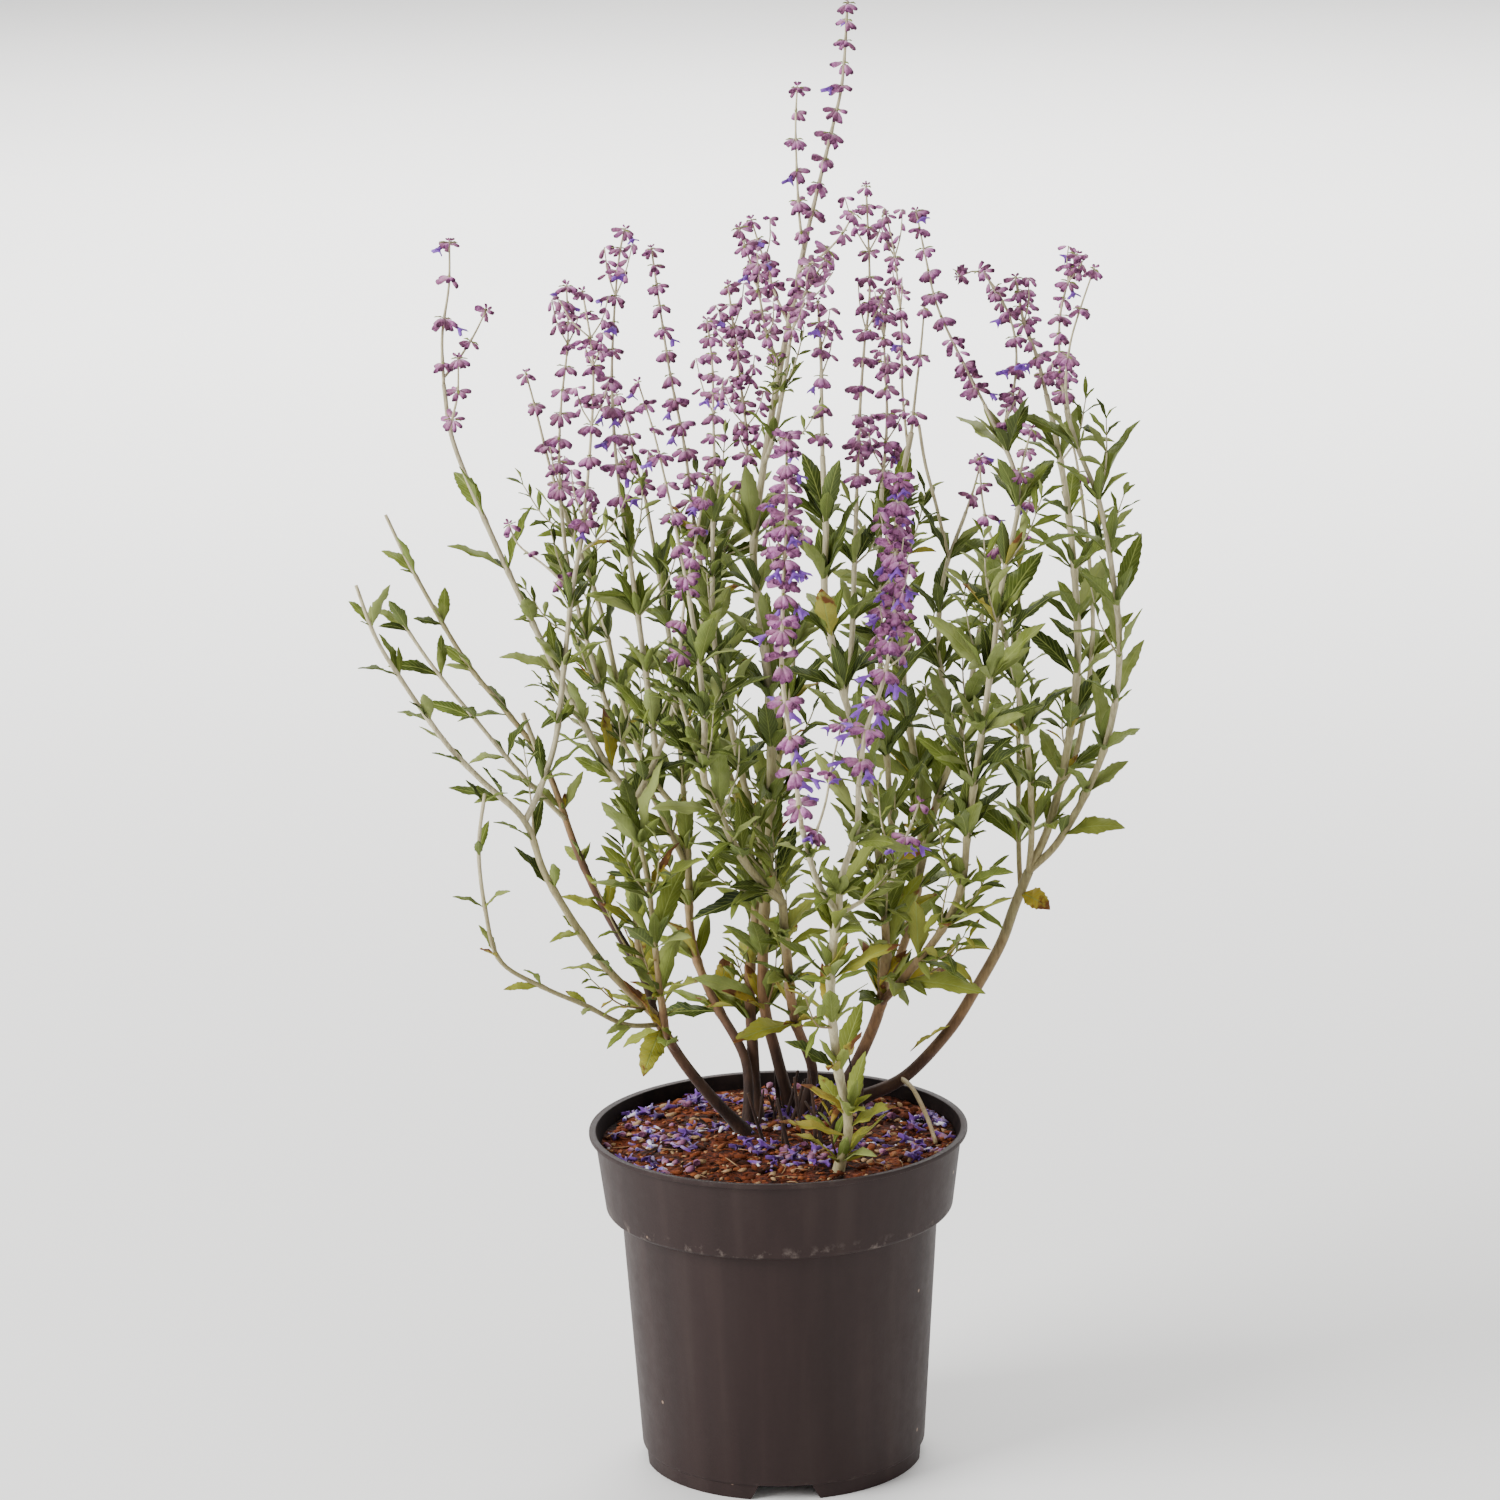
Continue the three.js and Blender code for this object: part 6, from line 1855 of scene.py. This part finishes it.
def grow_twig(piece, entry, whorl, heading, seed):
    """A thin side twig with a few small whorls, if it finds room."""
    place = place_on(entry["route"], whorl["share"])
    rise = radians(mix(*TWIG_RISE, noise_of(seed + 0.2)))
    leave = calyx_direction(place, heading, -rise)
    reach = mix(*TWIG_LENGTHS, noise_of(seed + 0.4))
    point, tip = place[0], place[0] + unit(leave + place[1] * TWIG_STRAIGHTEN) * reach
    route = trace_route([point, point + leave * reach * 0.5, tip])
    probes = places_on(route, TWIG_PROBES)[0]
    others = crowd.owners != crowd.number(entry["owner"])
    if outside(probes, TWIG_CALYX) or (crowd.room(probes, others) < TWIG_ROOM).any():
        return
    crowd.add(entry["owner"], probes, TWIG_ROOM / 2)
    frames = places_on(route, np.linspace(0, 1, TWIG_RINGS))
    radii, ripe = np.linspace(*TWIG_RADII, TWIG_RINGS), ripeness(frames[0], SHOOT_TONE)
    grow_tube(piece, frames, radii, SHOOT_SIDES, along=ripe, tint=noise_of(seed))
    for number in range(TWIG_WHORLS):
        place = place_on(route, mix(0.5, 1, number / (TWIG_WHORLS - 1)))
        size = TWIG_CALYX * (1 - TWIG_SHRINK * number)
        for i in range(TWIG_BUNCH):
            key = seed * 1.7 + number * 5.3 + i * 0.59
            if noise_of(key + 0.05) < TWIG_FULL:
                turn = i * pi / 2 + number + noise_of(key)
                grow_calyx(piece, place, turn, size, key, False)


def grow_tip(piece, entry, seed):
    """A few small buds at the very tip of a spike."""
    place = place_on(entry["route"], 1)
    for i in range(BUDS):
        rise = BUD_RISE[0] + BUD_RISE[1] * noise_of(seed + i)
        direction = calyx_direction(place, i * pi / 2 + seed, radians(-rise))
        length = BUD_LENGTH * mix(*BUD_LENGTH_SPREAD, noise_of(seed * 3 + i))
        width = length * BUD_WIDTH_SHARE
        shape = corners_of(calyx_template) * np.array((width, length, width))
        corners = laid(shape, place[0], direction, length, BUD_BEND)
        stamp(piece, calyx_template, corners, 1, tint=noise_of(seed + i * 2))


def grow_spike(entry, seed):
    """One spike: its axis, its whorls and its tip."""
    piece = bmesh.new()
    route = entry["route"]
    shares = stem_shares(route, entry["stalk_end"], 1)
    frames = places_on(route, shares)
    radii = mix(entry["radius"], entry["radius"] * SPIKE_TAPER, shares)
    for whorl in entry["placed"]:
        gaps = (shares - whorl["share"]) * route["length"] / WHORL_SWELL_REACH
        radii = radii * (1 + WHORL_SWELL * np.exp(-(gaps**2)))
    ripe = ripeness(frames[0], SPIKE_TONE)
    grow_tube(piece, frames, radii, STEM_SIDES, RIDGE, along=ripe, tint=noise_of(seed))
    bunch = range(len(BUNCH))
    seats = [(n, s, i) for n in range(len(entry["placed"])) for s in (0, 1) for i in bunch]
    seats.sort(key=lambda seat: noise_of(seed * 7 + seat[0] * 3.1 + seat[1] * 1.7 + seat[2]))
    blooming = set(seats[: OPEN_FLOWERS.get(entry["name"], 0)])
    twiggy = entry["whorls"] >= TWIG_WHORLS_LEAST and entry["name"] not in WITHOUT_TWIGS
    for number, whorl in enumerate(entry["placed"]):
        grow_whorl(piece, entry, whorl, number, seed, blooming)
        key = seed * 17 + number * 1.9
        if twiggy and noise_of(key) < TWIG_CHANCE and whorl["order"] < TWIG_HIGHEST:
            heading = pi * noise_of(key + 0.6)
            grow_twig(piece, entry, whorl, heading, key)
            grow_twig(piece, entry, whorl, heading + pi, key + 0.5)
    grow_tip(piece, entry, seed)
    finishes = [stem_felt, calyx_wool, flower_petal, sage_leaf]
    return finish_piece(piece, "flowers_" + entry["name"], finishes, [entry["owner"]])


grown = [grow_spike(entry, number + 1) for number, entry in enumerate(spikes)]
print(len(grown), "spikes,", triangles(*grown), "triangles")

# %% [markdown]
# ## What lies on the soil
#
# The top of the soil is a litter of coir crumbs, chips and fibres, and of hundreds of dropped
# flowers: violet petals, whitish petal tubes and mauve calyces. They are what gives the pot its
# colour from above. A crumb is an icosphere of twenty faces, squashed and turned by chance. A
# dropped flower is the flower template lying flat. Each lies on the height of the soil below it.

# %% Litter on the soil
CRUMBS = 1500
CRUMB_SIZES = (0.7, 2.3)
CRUMB_STRETCH = (1, 2.6)
CRUMB_FLATNESS = 0.6
CRUMB_LIFT = 0.15
CRUMB_TILT = 25
CRUMB_ARC = (4, 0.05)
WOBBLE = 0.25
WOBBLES = 5
FIBRES = 260
FIBRE_LENGTHS = (4, 13)
FIBRE_RADII = np.array((0.12, 0.3, 0.34, 0.28, 0.1))
FIBRE_SIDES = 4
FIBRE_LIFT = 0.5
FIBRE_TILT = 8
FIBRE_BOW = 0.3
FIBRE_ARCH = 0.6
DRIFTS = 38
DRIFT_REACH = 13
DRIFT_SEED = 6000
LITTER_RADIUS = 87


def crumb_shape():
    """A crumb of twenty faces."""
    shape = bmesh.new()
    bmesh.ops.create_icosphere(shape, subdivisions=1, radius=1)
    return shape


crumb_template = keep_template(crumb_shape(), "crumb")


def litter_place(seed, lift):
    """A place on the soil, spread evenly over its round."""
    radius = LITTER_RADIUS * sqrt(noise_of(seed * 1.37 + 0.2))
    angle = 2 * pi * noise_of(seed * 2.11 + 0.6)
    x, y = radius * cos(angle), radius * sin(angle)
    return np.array((x, y, soil_top(x, y) + lift))


def drift_place(seed, lift):
    """A place in one of the drifts that the dropped flowers gather in."""
    drift = litter_place(DRIFT_SEED + int(DRIFTS * noise_of(seed * 4.7)), 0)
    reach = DRIFT_REACH * sqrt(noise_of(seed * 2.3))
    angle = 2 * pi * noise_of(seed * 7.7)
    x, y = drift[0] + reach * cos(angle), drift[1] + reach * sin(angle)
    inwards = min(1, LITTER_RADIUS / max(hypot(x, y), 1))
    return np.array((x * inwards, y * inwards, soil_top(x * inwards, y * inwards) + lift))


def loose_turn(seed, tilt):
    """A direction that lies nearly flat, tilted up or down by a small chance angle."""
    angle = 2 * pi * noise_of(seed * 3.3)
    rise = radians(mix(-tilt, tilt, noise_of(seed * 5.7)))
    flat = np.array((cos(angle), sin(angle), 0)) * cos(rise)
    return flat + UPWARD * sin(rise)


crumbs = bmesh.new()
for number in range(CRUMBS):
    seed = number + 1
    size = mix(*CRUMB_SIZES, noise_of(seed * 7.1) ** 2)
    length = size * mix(*CRUMB_STRETCH, noise_of(seed * 4.3) ** 2)
    shape = corners_of(crumb_template) * np.array((size, length, size * CRUMB_FLATNESS))
    shape[:, 1] += size
    wobble = 1 + WOBBLE * np.sin(shape.sum(axis=1) * WOBBLES + seed)
    place = litter_place(seed, size * CRUMB_LIFT)
    corners = laid(shape * wobble[:, None], place, loose_turn(seed, CRUMB_TILT), *CRUMB_ARC)
    stamp(crumbs, crumb_template, corners, tint=noise_of(seed * 6.1))
for number in range(FIBRES):
    seed = CRUMBS + number
    place = litter_place(seed, FIBRE_LIFT)
    heading = loose_turn(seed, FIBRE_TILT)
    reach = mix(*FIBRE_LENGTHS, noise_of(seed * 9.1))
    bow = mix(-FIBRE_BOW, FIBRE_BOW, noise_of(seed * 8.3))
    bow = unit(np.cross(heading, UPWARD)) * reach * bow
    middle, end = place + heading * reach * 0.5, place + heading * reach
    if hypot(*end[:2]) > LITTER_RADIUS:
        continue
    route = trace_route([place, middle + bow + UPWARD * FIBRE_ARCH, end])
    frames = places_on(route, np.linspace(0, 1, len(FIBRE_RADII)))
    grow_tube(crumbs, frames, FIBRE_RADII, FIBRE_SIDES, tint=noise_of(seed * 2.9))
print("crumbs:", len(crumbs.faces), "faces")

# %% [markdown]
# Each crumb has one colour of the coir, from nearly black to tan, so the finish reads the tint
# and adds only a fine noise of its own. A dropped petal tube is whitish and bluer at its mouth.

# %% Crumb and petal tube finishes
shine = {"Specular IOR Level": 0.15, "Roughness": 0.95}
crumb_finish, tree, shader = new_finish("coir_crumb", shine)
coords = add(tree, "TexCoord", {}, "Object")
tint = add(tree, "Attribute", {}, "Fac", attribute_name="tint")
fine = add(tree, "TexNoise", {"Vector": coords, "Scale": 800, "Detail": 3})
place = add(tree, "Math", {0: fine, 1: 0.3, 2: tint}, operation="MULTIPLY_ADD")
husk = add(tree, "ValToRGB", {"Fac": place}, stops=[
    (0.15, "#1a0e09"), (0.4, "#482212"), (0.65, "#70371c"), (0.9, "#8d5230"), (1.0, "#a08260")
])
ragged = add(tree, "Bump", {"Height": fine, "Strength": 0.7, "Distance": 0.0005})
feed(tree, shader, {"Base Color": husk, "Normal": ragged})

silk = {"Roughness": 0.6, "Sheen Weight": 0.1}
tube_petal, tree, shader = new_finish("whitish_petal_tube", silk)
coords = add(tree, "TexCoord", {}, "Object")
along = add(tree, "Attribute", {}, "Fac", attribute_name="along")
fine = add(tree, "TexNoise", {"Vector": coords, "Scale": 600, "Detail": 2})
place = add(tree, "Math", {0: fine, 1: 0.4, 2: along}, operation="MULTIPLY_ADD")
pale = add(tree, "ValToRGB", {"Fac": place}, stops=[
    (0.4, "#f0ebee"), (0.9, "#d8cce0"), (1.0, "#8a76c8")
])
feed(tree, shader, {"Base Color": pale})

litter = finish_piece(crumbs, "coir_crumbs", [crumb_finish])
print("litter:", triangles(litter), "triangles")

# %% Dropped flowers
FALLEN = (
    (220, flower_template, (3.3, 6.2, 2.6), 1),
    (120, calyx_template, (1.8, 5.6, 1.5), 0),
    (90, petal_tube_template, (1.2, 5.0, 1.1), 2),
)
FALLEN_SEED = 5000
FALLEN_SPREAD = (0.75, 1.2)
# Low tints darken the dropped flowers and calyces: painted shade where they lie on the soil.
FALLEN_SHADE_TINT = (-0.8, 0.15)
FALLEN_LIFT = 0.3
FALLEN_TILT = 30
FALLEN_BEND = radians(15)
FALLEN_LEEWAY = 1

fallen = bmesh.new()
seed = FALLEN_SEED
for count, template, size, finish in FALLEN:
    for _ in range(count):
        seed += 1
        scale = mix(*FALLEN_SPREAD, noise_of(seed * 1.9))
        shape = corners_of(template) * np.array(size) * scale
        place = drift_place(seed, size[2] * 0.5 + FALLEN_LIFT)
        heading = loose_turn(seed, FALLEN_TILT)
        tip = place + heading * size[1] * scale
        if hypot(*tip[:2]) > LITTER_RADIUS + FALLEN_LEEWAY:
            heading = -heading
        corners = laid(shape, place, heading, size[1] * scale, FALLEN_BEND)
        stamp(fallen, template, corners, finish, tint=mix(*FALLEN_SHADE_TINT, noise_of(seed * 3.7)))
dropped = finish_piece(fallen, "dropped_flowers", [calyx_wool, flower_petal, tube_petal])
print("dropped flowers:", triangles(dropped), "triangles")

# %% [markdown]
# Between the canes stand the stubs of old shoots: thin, dark and crooked. A stub is kept only where
# it is clear of the living canes.

# %% Dead stubs
STUBS = 36
STUB_MIDDLE = (13, 12)
STUB_SPREAD = 34
STUB_HEIGHTS = (6, 40)
STUB_RADII = (0.5, 1.3)
STUB_LEAN = 0.4
STUB_BOW = 0.14
STUB_DEPTH = 1
STUB_ROOM = 0.2
STUB_TAPER = (1.1, 0.7)
STUB_SIDES = 6
STUB_RINGS = 7
STUB_SEED = 7000

stubs = bmesh.new()
kept = 0
for number in range(STUBS):
    seed = STUB_SEED + number
    radius = STUB_SPREAD * sqrt(noise_of(seed * 13.7))
    angle = 2 * pi * noise_of(seed * 29.3)
    x, y = STUB_MIDDLE[0] + radius * cos(angle), STUB_MIDDLE[1] + radius * sin(angle)
    foot = np.array((x, y, soil_top(x, y) - STUB_DEPTH))
    lean_x = mix(-STUB_LEAN, STUB_LEAN, noise_of(seed * 17.9))
    lean_y = mix(-STUB_LEAN, STUB_LEAN, noise_of(seed * 23.3))
    lean = unit(np.array((lean_x, lean_y, 1)))
    reach = mix(*STUB_HEIGHTS, noise_of(seed * 31.1) ** 1.5)
    bow = unit(np.cross(lean, UPWARD)) * reach * mix(-STUB_BOW, STUB_BOW, noise_of(seed * 5.9))
    route = trace_route([foot, foot + lean * reach * 0.5 + bow, foot + lean * reach])
    frames = places_on(route, np.linspace(0, 1, STUB_RINGS))
    thick = mix(*STUB_RADII, noise_of(seed * 6.7))
    if (crowd.room(frames[0], crowd.owners >= 0) < thick + STUB_ROOM).any():
        continue
    kept += 1
    radii = thick * np.linspace(*STUB_TAPER, STUB_RINGS)
    grow_tube(stubs, frames, radii, STUB_SIDES, along=0, tint=noise_of(seed * 7.3))
dead = finish_piece(stubs, "dead_stubs", [stem_felt])
print(kept, "stubs,", triangles(dead), "triangles")
